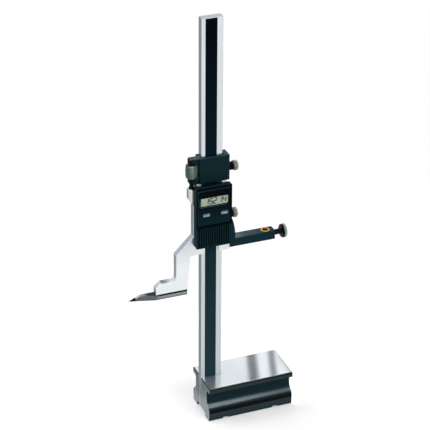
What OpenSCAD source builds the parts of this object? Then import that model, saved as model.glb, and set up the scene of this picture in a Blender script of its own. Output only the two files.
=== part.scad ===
// Digital height gauge: a slotted base, a flat column with a scale strip, a
// slider with a reading head, scriber and accessory bar, and a fine adjustment
// carriage above it. Lengths are in millimetres. X runs along the base towards
// its free end, Y runs to the back, Z is up. The origin lies at the level of the
// sole, midway between the scriber's point and the base's free end and midway
// between the base's front and back.

/* [Base] */
// length of the base along X
base_l = 97.5; // [85:0.5:130]
// depth of the base's top along Y
base_d = 49.5; // [46:0.5:60]
// height of the base's top above the sole
base_h = 41.8; // [40:0.1:50]
// height of the band under the top's edge
flange_h = 6.2; // [4:0.1:8]
// bevel round the edge of the top
top_bevel = 0.8; // [0.4:0.1:1.2]
// how far the waist lies behind the edge of the top
waist_in = 8.5; // [7:0.1:9]
// radius under the edge band
under_r = 3; // [1.5:0.1:4]
// how far the belly lies behind the edge of the top
belly_in = 0.6; // [0.4:0.1:1.5]
// radius of the belly
belly_r = 7; // [6:0.1:7.5]
// height of the belly's middle
belly_z = 11.2; // [11:0.1:12.5]
// radius of the hollow between waist and belly
cove_r = 9; // [8:0.1:10]
// how far the foot lies behind the edge of the top
foot_in = 1; // [0.8:0.1:2]
// height of the foot band
foot_h = 8.5; // [7.5:0.1:9.5]
// rounding of the foot's edges
foot_r = 1.2; // [0.5:0.1:2]
// width of the relief along the sole
relief_w = 24; // [18:0.5:28]
// height of the relief along the sole
relief_h = 4.5; // [3:0.1:6]
// width of each groove across the sole
groove_w = 6.5; // [4:0.1:9]
// height of each groove across the sole
groove_h = 2; // [1:0.1:3]
// distance of each groove's middle from the end
groove_inset = 19.6; // [15:0.1:25]

/* [Column] */
// width of the column
col_w = 23.2; // [22:0.1:26]
// thickness of the column
col_t = 8.4; // [8:0.1:9]
// height of the column's top above the sole
col_top = 457.5; // [440:0.5:480]
// distance of the column's middle behind the base's middle
col_offset = 4.75; // [3:0.05:6]
// height of the column's lower end above the sole
col_foot = 5; // [4.6:0.1:6]
// bevel along the column's edges
col_bevel = 0.5; // [0.3:0.1:0.7]
// gap round the column in its seat
seat_gap = 0.02; // [0.01:0.01:0.05]
// height of the lower fixing screw
fix_low = 14; // [13:0.5:16]
// height of the upper fixing screw
fix_high = 29.5; // [27:0.5:31]
// radius of a fixing screw
fix_r = 2; // [1.5:0.1:2.5]
// radius of a fixing screw's head
fix_head_r = 3.5; // [3:0.1:4]
// height of a fixing screw's head
fix_head_h = 4; // [3:0.1:4.4]
// metal left under a fixing screw's head
fix_floor = 2.9; // [2:0.1:3]
// depth of a fixing screw in the column
fix_depth = 5.5; // [4:0.1:6]
// size across the flats of the socket in a fixing screw
fix_socket = 3; // [2.5:0.1:3.5]
// depth of the socket in a fixing screw
fix_socket_d = 2; // [1:0.1:2.5]
// radius of a dowel
dowel_r = 1.5; // [1:0.1:2]
// distance between the dowels
dowel_gap = 14; // [12:0.5:15]
// height of the dowels
dowel_z = 21.5; // [19:0.5:24]
// length of a dowel
dowel_l = 9; // [7:0.5:11]

/* [Scale strip] */
// width of the scale strip
strip_w = 12.4; // [11:0.1:13]
// distance of the strip from the column's left edge
strip_left = 4.4; // [4.2:0.1:5]
// depth of the shallow channel that holds the strip
channel_d = 1; // [0.95:0.05:1.4]
// thickness of the scale circuit
strip_t = 0.55; // [0.4:0.05:0.6]
// thickness of the film over the scale circuit
film_t = 0.35; // [0.2:0.05:0.35]
// plain column left above the strip
strip_top = 0.7; // [0.5:0.1:4]
// depth of the strip's lower end below the base's top
strip_sink = 1; // [0.5:0.1:2]

/* [Slider] */
// height of the scriber's measuring face above the sole
reading = 152.14; // [60:0.01:250]
// gap between the column and each piece that slides on it
run_gap = 0.3; // [0.25:0.01:0.4]
// thickness of the lips in front of the column
lip_t = 2.3; // [2:0.1:2.6]
// thickness of the arm's plate
arm_t = 8; // [7:0.1:9]
// thickness of the wall behind the column
rear_t = 2.6; // [2:0.1:4]
// width of the left lip, measured from the column's left edge
lip_left = 3.3; // [2.5:0.1:3.9]
// distance of the right lip's edge from the column's left edge
lip_right = 18.6; // [18.2:0.1:20]
// left side of the slider beyond the column's left edge
side_left = 9.6; // [9:0.1:11]
// left side of the slider's rear wall beyond the column's left edge
rear_left = 6; // [5:0.1:7]
// right side of the slider beyond the column's right edge
side_out = 7.6; // [7.2:0.1:8.8]
// height of the slider's lower edge above the measuring face
slider_low = 45; // [43:0.1:47]
// height of the slider's top above the measuring face
slider_high = 121.7; // [121:0.1:122]
// outer side of the arm's leg beyond the column's left edge
leg_out = 28.8; // [27:0.1:30]
// inner side of the leg at its top
leg_in_top = 12.9; // [12:0.1:14]
// inner side of the leg at its bottom
leg_in_low = 16.6; // [15:0.1:18]
// height of the elbow's outer corner above the measuring face
elbow_z = 48.2; // [46:0.1:50]
// height of the foot's step above the measuring face
step_z = 18.4; // [17:0.1:20]
// height of the toe's corner above the measuring face
toe_z = 13.6; // [12:0.1:14]
// toe of the foot beyond the column's left edge
toe_out = 51.4; // [50:0.1:53]
// start of the toe's slope beyond the column's left edge
toe_in = 45; // [43:0.1:46]
// radius in the arm's inner corners
arm_fillet = 3.2; // [2:0.1:4]
// ear for the fine adjustment rod, beyond the column's left edge
ear_out = 14.1; // [14:0.1:15]
// height of the ear's lower corner above the measuring face
ear_low = 103; // [101:0.1:105]
// height at which the ear has its full width
ear_full = 110.5; // [108:0.1:112]
// bevel on the ear's front edge
ear_bevel = 3; // [2:0.1:3.2]

/* [Scriber] */
// height of the scriber
scriber_h = 5.95; // [5:0.05:7]
// point of the scriber beyond the column's left edge
scriber_out = 79.2; // [76:0.1:82]
// start of the scriber's side bevel beyond the column's left edge
scriber_bevel = 52; // [51.5:0.1:54]
// start of the scriber's top slope beyond the column's left edge
scriber_slope = 67; // [64:0.1:69]
// width of the scriber's point
scriber_nose = 0.4; // [0.3:0.05:0.6]
// thickness of the scriber's point
scriber_edge = 0.15; // [0.1:0.05:0.3]
// length of the hard tip
tip_l = 7; // [5:0.1:9]
// distance of the first scriber screw from the column's left edge
scr_near = 23; // [21:0.1:25]
// distance of the second scriber screw from the column's left edge
scr_far = 43; // [41:0.1:45]
// radius of a scriber screw
scr_r = 1.5; // [1.2:0.1:1.7]
// radius of a scriber screw's head
scr_head_r = 2.8; // [2.4:0.1:3]
// height of a scriber screw's head
scr_head_h = 1.8; // [1.4:0.1:2.2]
// depth of a scriber screw's head below the measuring face
scr_sink = 0.3; // [0.2:0.05:0.5]
// depth of a scriber screw in the foot
scr_depth = 7; // [5:0.1:9]
// width of the slot in a scriber screw
scr_slot = 0.7; // [0.5:0.05:0.9]
// depth of the slot in a scriber screw
scr_slot_d = 0.8; // [0.5:0.05:1]

/* [Slider guide] */
// thickness of the guide strip beside the column
gib_t = 1.6; // [1.4:0.05:1.8]
// width of the guide strip
gib_w = 7; // [6:0.1:8]
// length left free at each end of the guide strip
gib_end = 2; // [1:0.1:4]
// gap behind the guide strip
gib_gap = 0.05; // [0.02:0.01:0.1]
// radius of a guide screw
gib_screw_r = 1.25; // [1:0.05:1.5]
// heights of the guide screws above the measuring face, lower
gib_screw_low = 57; // [55:0.5:62]
// heights of the guide screws above the measuring face, upper
gib_screw_high = 112; // [106:0.5:116]
// depth of a guide screw's end below the slider's side
gib_screw_sink = 0.4; // [0.2:0.05:0.6]

/* [Fine adjustment rod] */
// distance of the rod beyond the column's left edge
rod_out = 10.3; // [10:0.1:10.6]
// distance of the rod behind the slider's front
rod_back = 4.1; // [4:0.1:4.4]
// radius of the rod
rod_r = 2; // [1.8:0.05:2.1]
// depth of the rod in the ear
rod_sink = 12; // [8:0.5:16]
// height of the rod above the slider's top
rod_up = 30.4; // [30:0.1:30.8]
// size of the lock nut across its flats
nut_w = 5.2; // [5:0.1:6]
// height of the lock nut
nut_h = 1.8; // [1.5:0.1:2.4]

/* [Reading head] */
// left side of the head beyond the column's left edge
head_left = 8.9; // [8.7:0.1:9.4]
// right side of the head, measured from the column's left edge
head_right = 30.1; // [29.9:0.1:30.4]
// depth of the head's casing
head_d = 8; // [7.9:0.05:8.3]
// height of the head's lower edge above the measuring face
head_low = 55.9; // [55:0.1:57]
// height of the head's top above the measuring face
head_high = 125; // [124.9:0.05:125.2]
// thickness of the casing's walls
wall = 1.8; // [1.6:0.05:2]
// thickness of the casing's right wall
wall_right = 3.3; // [3:0.1:3.6]
// thickness of the casing's rear wall
wall_rear = 1.5; // [1.4:0.05:1.6]
// radius of the swelling for the thumb
swell_r = 61; // [55:0.5:70]
// reach of the swelling, measured from the column's left edge
swell_out = 34.2; // [33:0.1:35]
// height of the swelling's widest place above the measuring face
swell_z = 64; // [62:0.1:66]
// thickness of the face plate
plate_t = 1; // [0.9:0.05:1.1]
// left edge of the face plate beyond the column's left edge
plate_left = 8.6; // [8.4:0.1:8.8]
// right edge of the face plate, measured from the column's left edge
plate_right = 28.6; // [28.2:0.1:29]
// height of the face plate's lower edge above the measuring face
plate_low = 81.6; // [81.4:0.1:82]
// gap between the face plate's top and the casing's top
plate_top_gap = 0.3; // [0.2:0.05:0.5]
// rounding of the face plate's lower corners
plate_r = 3; // [2:0.1:4]
// left edge of the window beyond the column's left edge
win_left = 4.7; // [4.5:0.1:5]
// width of the window
win_w = 29.9; // [29:0.1:30.2]
// height of the window's lower edge above the measuring face
win_low = 105.4; // [105:0.1:106]
// height of the window
win_h = 9.1; // [8.5:0.1:9.5]
// depth of the window below the plate's face
win_sink = 0.1; // [0.05:0.01:0.2]
// thickness of the window
win_t = 0.9; // [0.7:0.05:0.9]
// gap round the window in the face plate
win_gap = 0.05; // [0.02:0.01:0.1]
// thickness of the display glass
glass_t = 1.5; // [1.3:0.05:1.6]
// gap between the face plate and the display glass
glass_gap = 0.15; // [0.1:0.01:0.2]
// border of the display glass beyond the window at each side
glass_side = 1.6; // [1.2:0.1:1.8]
// border of the display glass below the window
glass_below = 3; // [2.6:0.1:3.2]
// border of the display glass above the window
glass_above = 2.6; // [2:0.1:3]
// thickness of the circuit board
board_t = 1; // [0.8:0.05:1.1]
// gap behind the circuit board
board_back = 1.25; // [1.1:0.05:1.4]
// left edge of the circuit board beyond the column's left edge
board_left = 5.8; // [5.4:0.1:6]
// right edge of the circuit board, measured from the column's left edge
board_right = 25.5; // [25:0.1:25.7]
// height of the board's lower edge above the measuring face
board_low = 62; // [61:0.5:63]
// height of the board's upper edge above the measuring face
board_high = 114.3; // [113.5:0.1:114.6]
// radius of the posts behind the board
post_r = 1.5; // [1.2:0.1:1.8]
// distance of the posts from the board's edges
post_in = 3; // [2.5:0.1:4]
// width of the rubber contact strip
contact_w = 2; // [1.5:0.1:2.3]
// distance of the ledge and of the contact strip from the display's edges
contact_in = 0.4; // [0.3:0.1:0.6]
// width of the ledge under the display's upper edge
ledge_w = 2.4; // [1.8:0.1:2.4]
// thickness of the rubber key sheet
sheet_t = 0.5; // [0.4:0.05:0.6]
// height of each key's dome above the board
dome_h = 2; // [1.9:0.05:2.05]
// distance of the key sheet's edge from the outer buttons
sheet_in = 2.2; // [1.5:0.1:3]

/* [Buttons] */
// width of a button
button_w = 7.2; // [6.6:0.1:7.8]
// height of a button
button_h = 3.9; // [3.4:0.1:4.4]
// left button's middle, measured from the column's left edge
button_left = 1.4; // [1:0.1:2]
// right button's middle, measured from the column's left edge
button_right = 21.2; // [20.5:0.1:21.8]
// height of the buttons' middle above the measuring face
button_z = 95.2; // [94:0.1:96]
// how far a button stands out of the face plate
button_out = 0.45; // [0.4:0.05:0.6]
// gap round a button
button_gap = 0.3; // [0.25:0.05:0.35]
// width of the rim behind the face plate
button_rim = 0.8; // [0.6:0.05:1]
// thickness of the rim behind the face plate
button_rim_t = 0.6; // [0.5:0.05:0.7]
// gap between the rim and the face plate
button_rim_gap = 0.1; // [0.05:0.01:0.12]
// free travel of a button
button_free = 0.4; // [0.4:0.05:0.5]

/* [Battery] */
// radius of the battery
cell_r = 10; // [9.5:0.05:10]
// thickness of the battery
cell_t = 3.2; // [2.8:0.05:3.2]
// height of the battery's middle above the measuring face
cell_z = 69.9; // [69.7:0.1:70]
// thickness of the battery spring
clip_t = 0.2; // [0.15:0.01:0.2]
// width of the battery spring
clip_w = 5; // [3:0.1:7]
// overlap of the spring and the battery
clip_lap = 5; // [3:0.1:7]
// width of the casing's bar between cover and face plate
cross_w = 2; // [1.6:0.1:2.2]
// thickness of the casing's bar between cover and face plate
cross_t = 0.6; // [0.5:0.05:0.65]
// thickness of the battery cover
cover_t = 0.6; // [0.5:0.05:0.65]
// gap round the battery cover
cover_gap = 0.1; // [0.05:0.01:0.15]
// width of each ledge under the cover
cover_ledge = 1; // [0.8:0.05:1.2]
// height of the ribs on the cover
rib_h = 0.6; // [0.4:0.05:0.8]
// distance of the outer ribs from the cover's sides
rib_margin = 1.15; // [0.5:0.05:2]
// number of ribs on the cover
rib_n = 13; // [9:1:13]
// share of the spacing that a rib takes
rib_share = 0.56; // [0.4:0.02:0.7]

/* [Head fixing and sensor] */
// radius of a head screw
head_screw_r = 1; // [0.8:0.05:1.1]
// radius of a head screw's head
head_screw_head_r = 1.8; // [1.6:0.05:1.9]
// height of a head screw's head
head_screw_head_h = 1.2; // [1:0.05:1.3]
// how far a head screw stops short of the column's slot
head_screw_short = 0.1; // [0.05:0.05:0.5]
// distance of the left head screws beyond the column's left edge
head_screw_left = 4; // [3.6:0.1:4.4]
// distance of the right head screws from the column's left edge
head_screw_right = 24.6; // [24.4:0.1:24.8]
// distance of the lower head screws above the casing's lower edge
head_screw_low = 4; // [3.9:0.1:4.1]
// distance of the upper head screws below the casing's top
head_screw_high = 5; // [4.8:0.1:5.4]
// gap round a screw in its own body
snug = 0.02; // [0.01:0.01:0.05]
// width of the sensor board
sensor_w = 12.4; // [11:0.1:13]
// thickness of the sensor board with its carrier
sensor_t = 2.2; // [2:0.05:2.2]
// height of the sensor board's lower edge above the measuring face
sensor_low = 62; // [60:0.5:66]
// height of the sensor board's upper edge above the measuring face
sensor_high = 110; // [106:0.5:114]

/* [Accessory bar] */
// length of the bar
bar_l = 51.8; // [48:0.1:55]
// depth of the bar
bar_d = 11.3; // [10.5:0.1:12]
// height of the bar
bar_h = 10.3; // [9.5:0.1:11]
// height of the bar's lower face above the slider's lower edge
bar_up = 1.8; // [1:0.1:3]
// bevel along the bar's edges
bar_bevel = 0.5; // [0.3:0.05:0.8]
// radius of the bar's tenon
tenon_r = 3.5; // [3:0.1:4]
// length of the bar's tenon
tenon_l = 4.4; // [3.5:0.1:4.8]
// radius of the pin that holds the tenon
pin_r = 1.25; // [1:0.05:1.5]
// distance of the pin from the slider's side
pin_in = 2.4; // [2:0.1:3]
// distance of the clamping bush from the bar's end
bush_end = 9.3; // [8:0.1:11]
// outer radius of the clamping bush
bush_r = 4.9; // [4.6:0.05:5.1]
// radius of the bush's bore
bush_bore = 3; // [2.5:0.05:3.5]
// width of the slit in the bush
bush_slit = 0.9; // [0.6:0.05:1.2]
// how far the bush stands above the bar
bush_out = 0.15; // [0.1:0.01:0.3]

/* [Clamping screws] */
// radius of every clamping screw's shank
shank_r = 2; // [1.8:0.05:2.2]
// running gap round a shank
shank_gap = 0.05; // [0.03:0.01:0.08]
// gap behind a clamping screw's collar
collar_gap = 0.3; // [0.25:0.01:0.5]
// radius of a thumb screw's collar
collar_r = 4.5; // [4:0.1:4.8]
// radius of a thumb screw's knurled head
thumb_r = 5.4; // [5:0.1:6]
// length of a thumb screw's knurled head
thumb_l = 5.6; // [5:0.1:7]
// distance of the knurled heads from the column's right edge
thumb_out = 12.7; // [12.3:0.1:13.8]
// height of the slider's thumb screw above the measuring face
thumb_z = 84; // [82:0.1:86]
// depth of a knurl
knurl_d = 0.3; // [0.2:0.02:0.35]
// share of a knurl's depth that its flat crest cuts off
crest_share = 0.25; // [0.1:0.05:0.4]
// number of knurls on a thumb screw
thumb_knurls = 30; // [20:1:40]
// bevel on a knurled head
thumb_bevel = 0.7; // [0.4:0.05:1]
// radius of a pressure pad
pad_r = 2.4; // [2:0.1:2.6]
// radius of the bar screw's neck
neck_r = 3; // [2.5:0.1:3.5]
// length of the bar screw's neck
neck_l = 8.4; // [6:0.1:10]
// radius of the bar screw's knurled head
knob_r = 7.5; // [7:0.1:8.5]
// length of the bar screw's knurled head
knob_l = 5; // [4:0.1:7]
// number of knurls on the bar screw
knob_knurls = 40; // [30:1:50]

/* [Carriage] */
// gap between the reading head and the carriage at rest
carriage_gap = 1.9; // [1.85:0.05:2.2]
// height of the carriage
carriage_h = 28.4; // [28:0.1:30]
// thickness of the carriage's front
carriage_front = 2.5; // [2.2:0.1:2.8]
// left side of the carriage beyond the column's left edge
carriage_left = 2.4; // [2.2:0.05:2.6]
// right side of the carriage beyond the column's right edge
carriage_out = 6.8; // [6:0.1:7.2]
// thickness of the carriage's rear plate
back_t = 2; // [1.8:0.05:2.4]
// left side of the fork beyond the column's left edge
fork_out = 12.8; // [12.6:0.1:13]
// how far the fork's front lies behind the carriage's front
fork_in = 0.9; // [0.6:0.05:1.2]
// depth of the fork
fork_d = 8.1; // [7.8:0.1:8.4]
// height of the fork's lower arm
fork_low = 7; // [6.5:0.1:7.2]
// height of the fork's upper arm
fork_high = 6.1; // [5.8:0.1:6.3]
// bevel on the fork's outer corners
fork_bevel = 0.9; // [0.6:0.1:1.6]
// gap round the rod in the fork
fork_gap = 0.4; // [0.35:0.01:0.5]
// thickness of the fork above the rod's hole
rod_roof = 1.4; // [1:0.1:1.6]
// thickness of the leaf beside the column
leaf_t = 1.2; // [1.1:0.05:1.3]
// height of the carriage's thumb screw above its lower face
carriage_thumb = 11.8; // [11.5:0.1:14]
// radius of a rear plate screw
back_screw_r = 1; // [0.8:0.05:1.1]
// radius of a rear plate screw's head
back_head_r = 1.8; // [1.6:0.05:1.9]
// height of a rear plate screw's head
back_head_h = 1; // [0.8:0.05:1.1]
// depth of a rear plate screw
back_depth = 5; // [4:0.1:6]
// distance of the right rear screws from the carriage's right side
back_right = 2.3; // [2.2:0.05:2.4]
// distance of the left rear screws beyond the column's left edge
back_left = 3.8; // [3.6:0.05:4]
// reach of the rear plate's ears beyond the column's left edge
ear_plate = 5.9; // [5.7:0.05:6.2]
// height of each ear of the rear plate
ear_plate_h = 4.4; // [4.2:0.05:4.6]
// distance of the ears from the carriage's lower and upper faces
ear_plate_in = 2.6; // [2.2:0.05:2.8]

/* [Fine adjustment wheel] */
// radius of the wheel at its middle
wheel_r = 6.2; // [5.8:0.05:6.4]
// how much smaller the wheel's ends are
wheel_crown = 0.45; // [0.3:0.05:0.6]
// gap between the wheel and each arm of the fork
wheel_gap = 0.3; // [0.25:0.01:0.4]
// number of knurls on the wheel
wheel_knurls = 28; // [20:1:40]
// bevel on the wheel's ends
wheel_bevel = 0.8; // [0.5:0.05:1]
// running gap between the wheel and the rod
wheel_fit = 0.05; // [0.03:0.01:0.08]

/* [Hidden] */
$fn = 64;
over = base_h / 40;
// column
x0 = (scriber_out - base_l) / 2;
base_mid = x0 + base_l / 2;
y0 = col_offset - col_t / 2;
x_col = x0 + col_w;
y_col = y0 + col_t;
x_axis = x0 + col_w / 2;
y_axis = y0 + col_t / 2;
strip_x = x0 + strip_left;
// slider planes
yf = y0 - run_gap - lip_t;
yr = y_col + run_gap + rear_t;
xs = x_col + side_out;
z0 = reading;
z_low = z0 + slider_low;
z_high = z0 + slider_high;
z_foot = z0 + scriber_h;
gib_x = x_col + run_gap;
slot_r = gib_x + gib_t + gib_gap;
rod_x = x0 - rod_out;
rod_y = yf + rod_back;
// head planes
h_left = x0 - head_left;
h_right = x0 + head_right;
h_low = z0 + head_low;
h_high = z0 + head_high;
h_front = yf - head_d;
head_screw_depth = lip_t - head_screw_short;
p_front = h_front - plate_t;
c_left = h_left + wall;
c_right = h_right - wall_right;
c_low = h_low + wall;
c_high = h_high - wall;
c_back = yf - wall_rear;
b_back = c_back - board_back;
b_front = b_back - board_t;
g_front = h_front + glass_gap;
g_back = g_front + glass_t;
cross_z = z0 + plate_low + cross_w / 2;
cover_back = h_front + cover_gap + cover_t;
cover_w = c_right - c_left - 2 * cover_gap;
rib_pitch = (cover_w - 2 * rib_margin) / (rib_n - 1 + rib_share);
bz = z0 + button_z;
button_x = [x0 + button_left, x0 + button_right];
// carriage planes
k_low = h_high + carriage_gap;
k_high = k_low + carriage_h;
k_front = y0 - run_gap - carriage_front;
k_back = y_col + run_gap;
k_left = x0 - carriage_left;
k_right = x_col + carriage_out;
leaf_x = x_col + run_gap;
k_slot = leaf_x + leaf_t + gib_gap;
arm_low = k_low + fork_low;
arm_high = k_high - fork_high;
fork_y = k_front + fork_in;
// bar
bar_x = xs + bar_l;
bar_z = z_low + bar_up;
bar_mid_y = yf + bar_d / 2;
bar_mid_z = bar_z + bar_h / 2;
bush_x = bar_x - bush_end;

// box between two corners
module block(a, b) {
    translate(a)
        cube(b - a);
}

// round bar along X, Y or Z from its start point
module bar_x_dir(p, r, l) {
    translate(p)
        rotate([0, 90, 0])
            cylinder(h = l, r = r);
}

module bar_y_dir(p, r, l) {
    translate(p)
        rotate([-90, 0, 0])
            cylinder(h = l, r = r);
}

module bar_z_dir(p, r, l) {
    translate(p)
        cylinder(h = l, r = r);
}

// flat outline in X and Z, given thickness towards +Y from y
module slab_y(y, t) {
    translate([0, y + t, 0])
        rotate([90, 0, 0])
            linear_extrude(height = t)
                children();
}

// flat outline in Y and Z, given thickness towards +X from x
module slab_x(x, t) {
    translate([x, 0, 0])
        rotate([90, 0, 90])
            linear_extrude(height = t)
                children();
}

// rounding of an inner corner between two directions
module corner_fill(p, a, b, r) {
    u = a / norm(a);
    v = b / norm(b);
    half = acos(u * v) / 2;
    m = (u + v) / norm(u + v);
    c = p + m * (r / sin(half));
    t = r / tan(half);
    difference() {
        polygon([p - over * (u + v), p + u * t - over * v, p + u * t, c, p + v * t,
            p + v * t - over * u]);
        translate(c)
            circle(r = r);
    }
}

// knurled round head along Z with bevelled ends and flat crests
module knurled(r, l, n, bevel, crown) {
    crest_r = r + crest_share * knurl_d;
    middle = crown > 0 ? [[r, l / 2]] : [];
    intersection() {
        linear_extrude(height = l)
            polygon([for (i = [0:2 * n - 1])
                (crest_r - (i % 2) * knurl_d) * [cos(180 * i / n), sin(180 * i / n)]]);
        rotate_extrude()
            polygon(concat(
                [[0, 0], [r - crown - bevel, 0], [r - crown, bevel]],
                middle,
                [[r - crown, l - bevel], [r - crown - bevel, l], [0, l]]));
    }
}

// one half of the base, towards the back, without holes
module half_base() {
    wall_y = base_d / 2 - waist_in;
    by = base_d / 2 - belly_in - belly_r;
    cy = wall_y + cove_r;
    cz = belly_z + sqrt(pow(cove_r + belly_r, 2) - pow(cy - by, 2));
    reach = belly_r / (belly_r + cove_r);
    tangent = [by, belly_z] + reach * [cy - by, cz - belly_z];
    foot_y = base_d / 2 - foot_in;
    slab_x(-base_l / 2, base_l)
        translate([-over, 0])
            square([wall_y + over, base_h]);
    slab_x(-base_l / 2, base_l)
        polygon([[0, base_h], [base_d / 2 - top_bevel, base_h], [base_d / 2, base_h - top_bevel],
            [base_d / 2, base_h - flange_h], [0, base_h - flange_h]]);
    slab_x(-base_l / 2, base_l)
        corner_fill([wall_y, base_h - flange_h], [1, 0], [0, -1], under_r);
    slab_x(-base_l / 2, base_l)
        difference() {
            polygon([[wall_y - over, cz], [wall_y, cz], tangent, [by, belly_z],
                [wall_y - over, belly_z]]);
            translate([cy, cz])
                circle(r = cove_r);
        }
    bar_x_dir([-base_l / 2, by, belly_z], belly_r, base_l);
    block([-base_l / 2, 0, foot_r], [base_l / 2, foot_y, foot_h - foot_r]);
    block([-base_l / 2, 0, 0], [base_l / 2, foot_y - foot_r, foot_h]);
    for (z = [foot_r, foot_h - foot_r])
        bar_x_dir([-base_l / 2, foot_y - foot_r, z], foot_r, base_l);
}

// bevel across one end of the top, at +X
module end_bevel() {
    slab_y(-base_d, 2 * base_d)
        polygon([[base_l / 2 - top_bevel, base_h], [base_l / 2, base_h - top_bevel],
            [base_l / 2 + over, base_h - top_bevel], [base_l / 2 + over, base_h + over],
            [base_l / 2 - top_bevel, base_h + over]]);
}

// base without its seat for the column and its holes, centred
module plain_base() {
    difference() {
        union() {
            half_base();
            mirror([0, 1, 0])
                half_base();
        }
        block([-base_l, -relief_w / 2, -over], [base_l, relief_w / 2, relief_h]);
        for (s = [-1, 1]) {
            groove_x = s * (base_l / 2 - groove_inset);
            block([groove_x - groove_w / 2, -base_d, -over],
                [groove_x + groove_w / 2, base_d, groove_h]);
        }
        end_bevel();
        mirror([1, 0, 0])
            end_bevel();
    }
}

function fix_points() = [[x_axis, fix_low], [x_axis, fix_high]];
function dowel_points() = [[x_axis - dowel_gap / 2, dowel_z], [x_axis + dowel_gap / 2, dowel_z]];

module base_block() {
    color([0.1, 0.13, 0.14])
        difference() {
            translate([base_mid, 0, 0])
                plain_base();
            block([x0 - over, y0 - seat_gap, -over],
                [x_col + seat_gap, y_col + seat_gap, base_h + over]);
            for (p = fix_points()) {
                bar_y_dir([p[0], y_axis, p[1]], fix_r + snug, base_d);
                bar_y_dir([p[0], y_col + fix_floor, p[1]], fix_head_r + snug, base_d);
            }
            for (p = dowel_points())
                bar_y_dir([p[0], y_axis, p[1]], dowel_r + snug, base_d);
        }
}

module column() {
    b = col_bevel;
    color([0.82, 0.84, 0.85])
        difference() {
            translate([x0, y0, col_foot])
                linear_extrude(height = col_top - col_foot)
                    polygon([[b, 0], [col_w - b, 0], [col_w, b], [col_w, col_t - b],
                        [col_w - b, col_t], [b, col_t], [0, col_t - b], [0, b]]);
            block([strip_x, y0 - over, base_h - strip_sink],
                [strip_x + strip_w, y0 + channel_d, col_top - strip_top]);
            for (p = fix_points())
                bar_y_dir([p[0], y_col - fix_depth, p[1]], fix_r + snug, base_d);
            for (p = dowel_points())
                bar_y_dir([p[0], y_col - dowel_l / 2, p[1]], dowel_r + snug, base_d);
        }
}

module scale_strip() {
    color([0.05, 0.08, 0.09])
        block([strip_x + snug, y0 + channel_d - strip_t, base_h - strip_sink + snug],
            [strip_x + strip_w - snug, y0 + channel_d, col_top - strip_top - snug]);
}

module scale_film() {
    color([0.04, 0.1, 0.12])
        block([strip_x + snug, y0 + channel_d - strip_t - film_t, base_h - strip_sink + snug],
            [strip_x + strip_w - snug, y0 + channel_d - strip_t, col_top - strip_top - snug]);
}

module column_screws() {
    color([0.2, 0.2, 0.21])
        for (p = fix_points())
            difference() {
                union() {
                    bar_y_dir([p[0], y_col - fix_depth, p[1]], fix_r, fix_depth + fix_floor);
                    bar_y_dir([p[0], y_col + fix_floor, p[1]], fix_head_r, fix_head_h);
                }
                translate([p[0], y_col + fix_floor + fix_head_h - fix_socket_d, p[1]])
                    rotate([-90, 0, 0])
                        cylinder(h = fix_head_h, d = fix_socket / cos(30), $fn = 6);
            }
}

module column_dowels() {
    color([0.6, 0.6, 0.62])
        for (p = dowel_points())
            bar_y_dir([p[0], y_col - dowel_l / 2, p[1]], dowel_r, dowel_l);
}

// outline of the slider's plate with the arm and the scriber's seat
module arm_outline() {
    top = [x0 - leg_in_top, z_low];
    low = [x0 - leg_in_low, z_foot];
    knee = [x0 - leg_out, z0 + elbow_z];
    hip = [x0 - side_left, z0 + elbow_z + leg_out - side_left];
    step = [x0 - leg_out, z0 + step_z];
    polygon([low, top, [xs, z_low], [xs, z_high], [x0 - ear_out, z_high],
        [x0 - ear_out, z0 + ear_full], [x0 - side_left, z0 + ear_low], hip, knee, step,
        [x0 - toe_in, z0 + step_z], [x0 - toe_out, z0 + toe_z], [x0 - toe_out, z_foot]]);
    corner_fill(top, [1, 0], low - top, arm_fillet);
    corner_fill(step, [-1, 0], [0, 1], arm_fillet);
}

module screw_holes_head() {
    for (p = head_screw_points())
        bar_y_dir([p[0], yf - over, p[1]], head_screw_r + snug, head_screw_depth + over);
}

function head_screw_points() = [
    [x0 - head_screw_left, h_low + head_screw_low],
    [x0 + head_screw_right, h_low + head_screw_low],
    [x0 - head_screw_left, h_high - head_screw_high],
    [x0 + head_screw_right, h_high - head_screw_high]];
function scriber_screw_x() = [x0 - scr_near, x0 - scr_far];
function guide_screw_z() = [z0 + gib_screw_low, z0 + gib_screw_high];

module slider_frame() {
    color([0.86, 0.87, 0.88])
        difference() {
            union() {
                slab_y(yf, arm_t)
                    arm_outline();
                block([x0 - rear_left, yf + arm_t, z_low], [xs, yr, z_high]);
            }
            block([x0 - run_gap, y0 - run_gap, z_low - over],
                [slot_r, y_col + run_gap, z_high + over]);
            block([x0 + lip_left, yf - over, z_low - over],
                [x0 + lip_right, y_axis, z_high + over]);
            translate([0, 0, z0 + ear_low])
                linear_extrude(height = z_high)
                    polygon([[x0 - ear_out - over, yf - over],
                        [x0 - ear_out + ear_bevel + over, yf - over],
                        [x0 - ear_out - over, yf + ear_bevel + over]]);
            bar_z_dir([rod_x, rod_y, z_high - rod_sink], rod_r + snug, z_high);
            screw_holes_head();
            bar_x_dir([x_axis, y_axis, z0 + thumb_z], shank_r + shank_gap, base_l);
            for (z = guide_screw_z())
                bar_x_dir([x_axis, y_axis, z], gib_screw_r + snug, base_l);
            bar_x_dir([xs - tenon_l, bar_mid_y, bar_mid_z], tenon_r + snug, tenon_l + over);
            bar_y_dir([xs - pin_in, bar_mid_y, bar_mid_z], pin_r + snug, base_d);
            for (x = scriber_screw_x())
                bar_z_dir([x, yf + arm_t / 2, z_foot - over], scr_r + snug, scr_depth + over);
        }
}

module guide_strip() {
    color([0.72, 0.58, 0.3])
        difference() {
            block([gib_x, y_axis - gib_w / 2, z_low + gib_end],
                [gib_x + gib_t, y_axis + gib_w / 2, z_high - gib_end]);
            bar_x_dir([x_axis, y_axis, z0 + thumb_z], pad_r + run_gap, base_l);
        }
}

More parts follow.
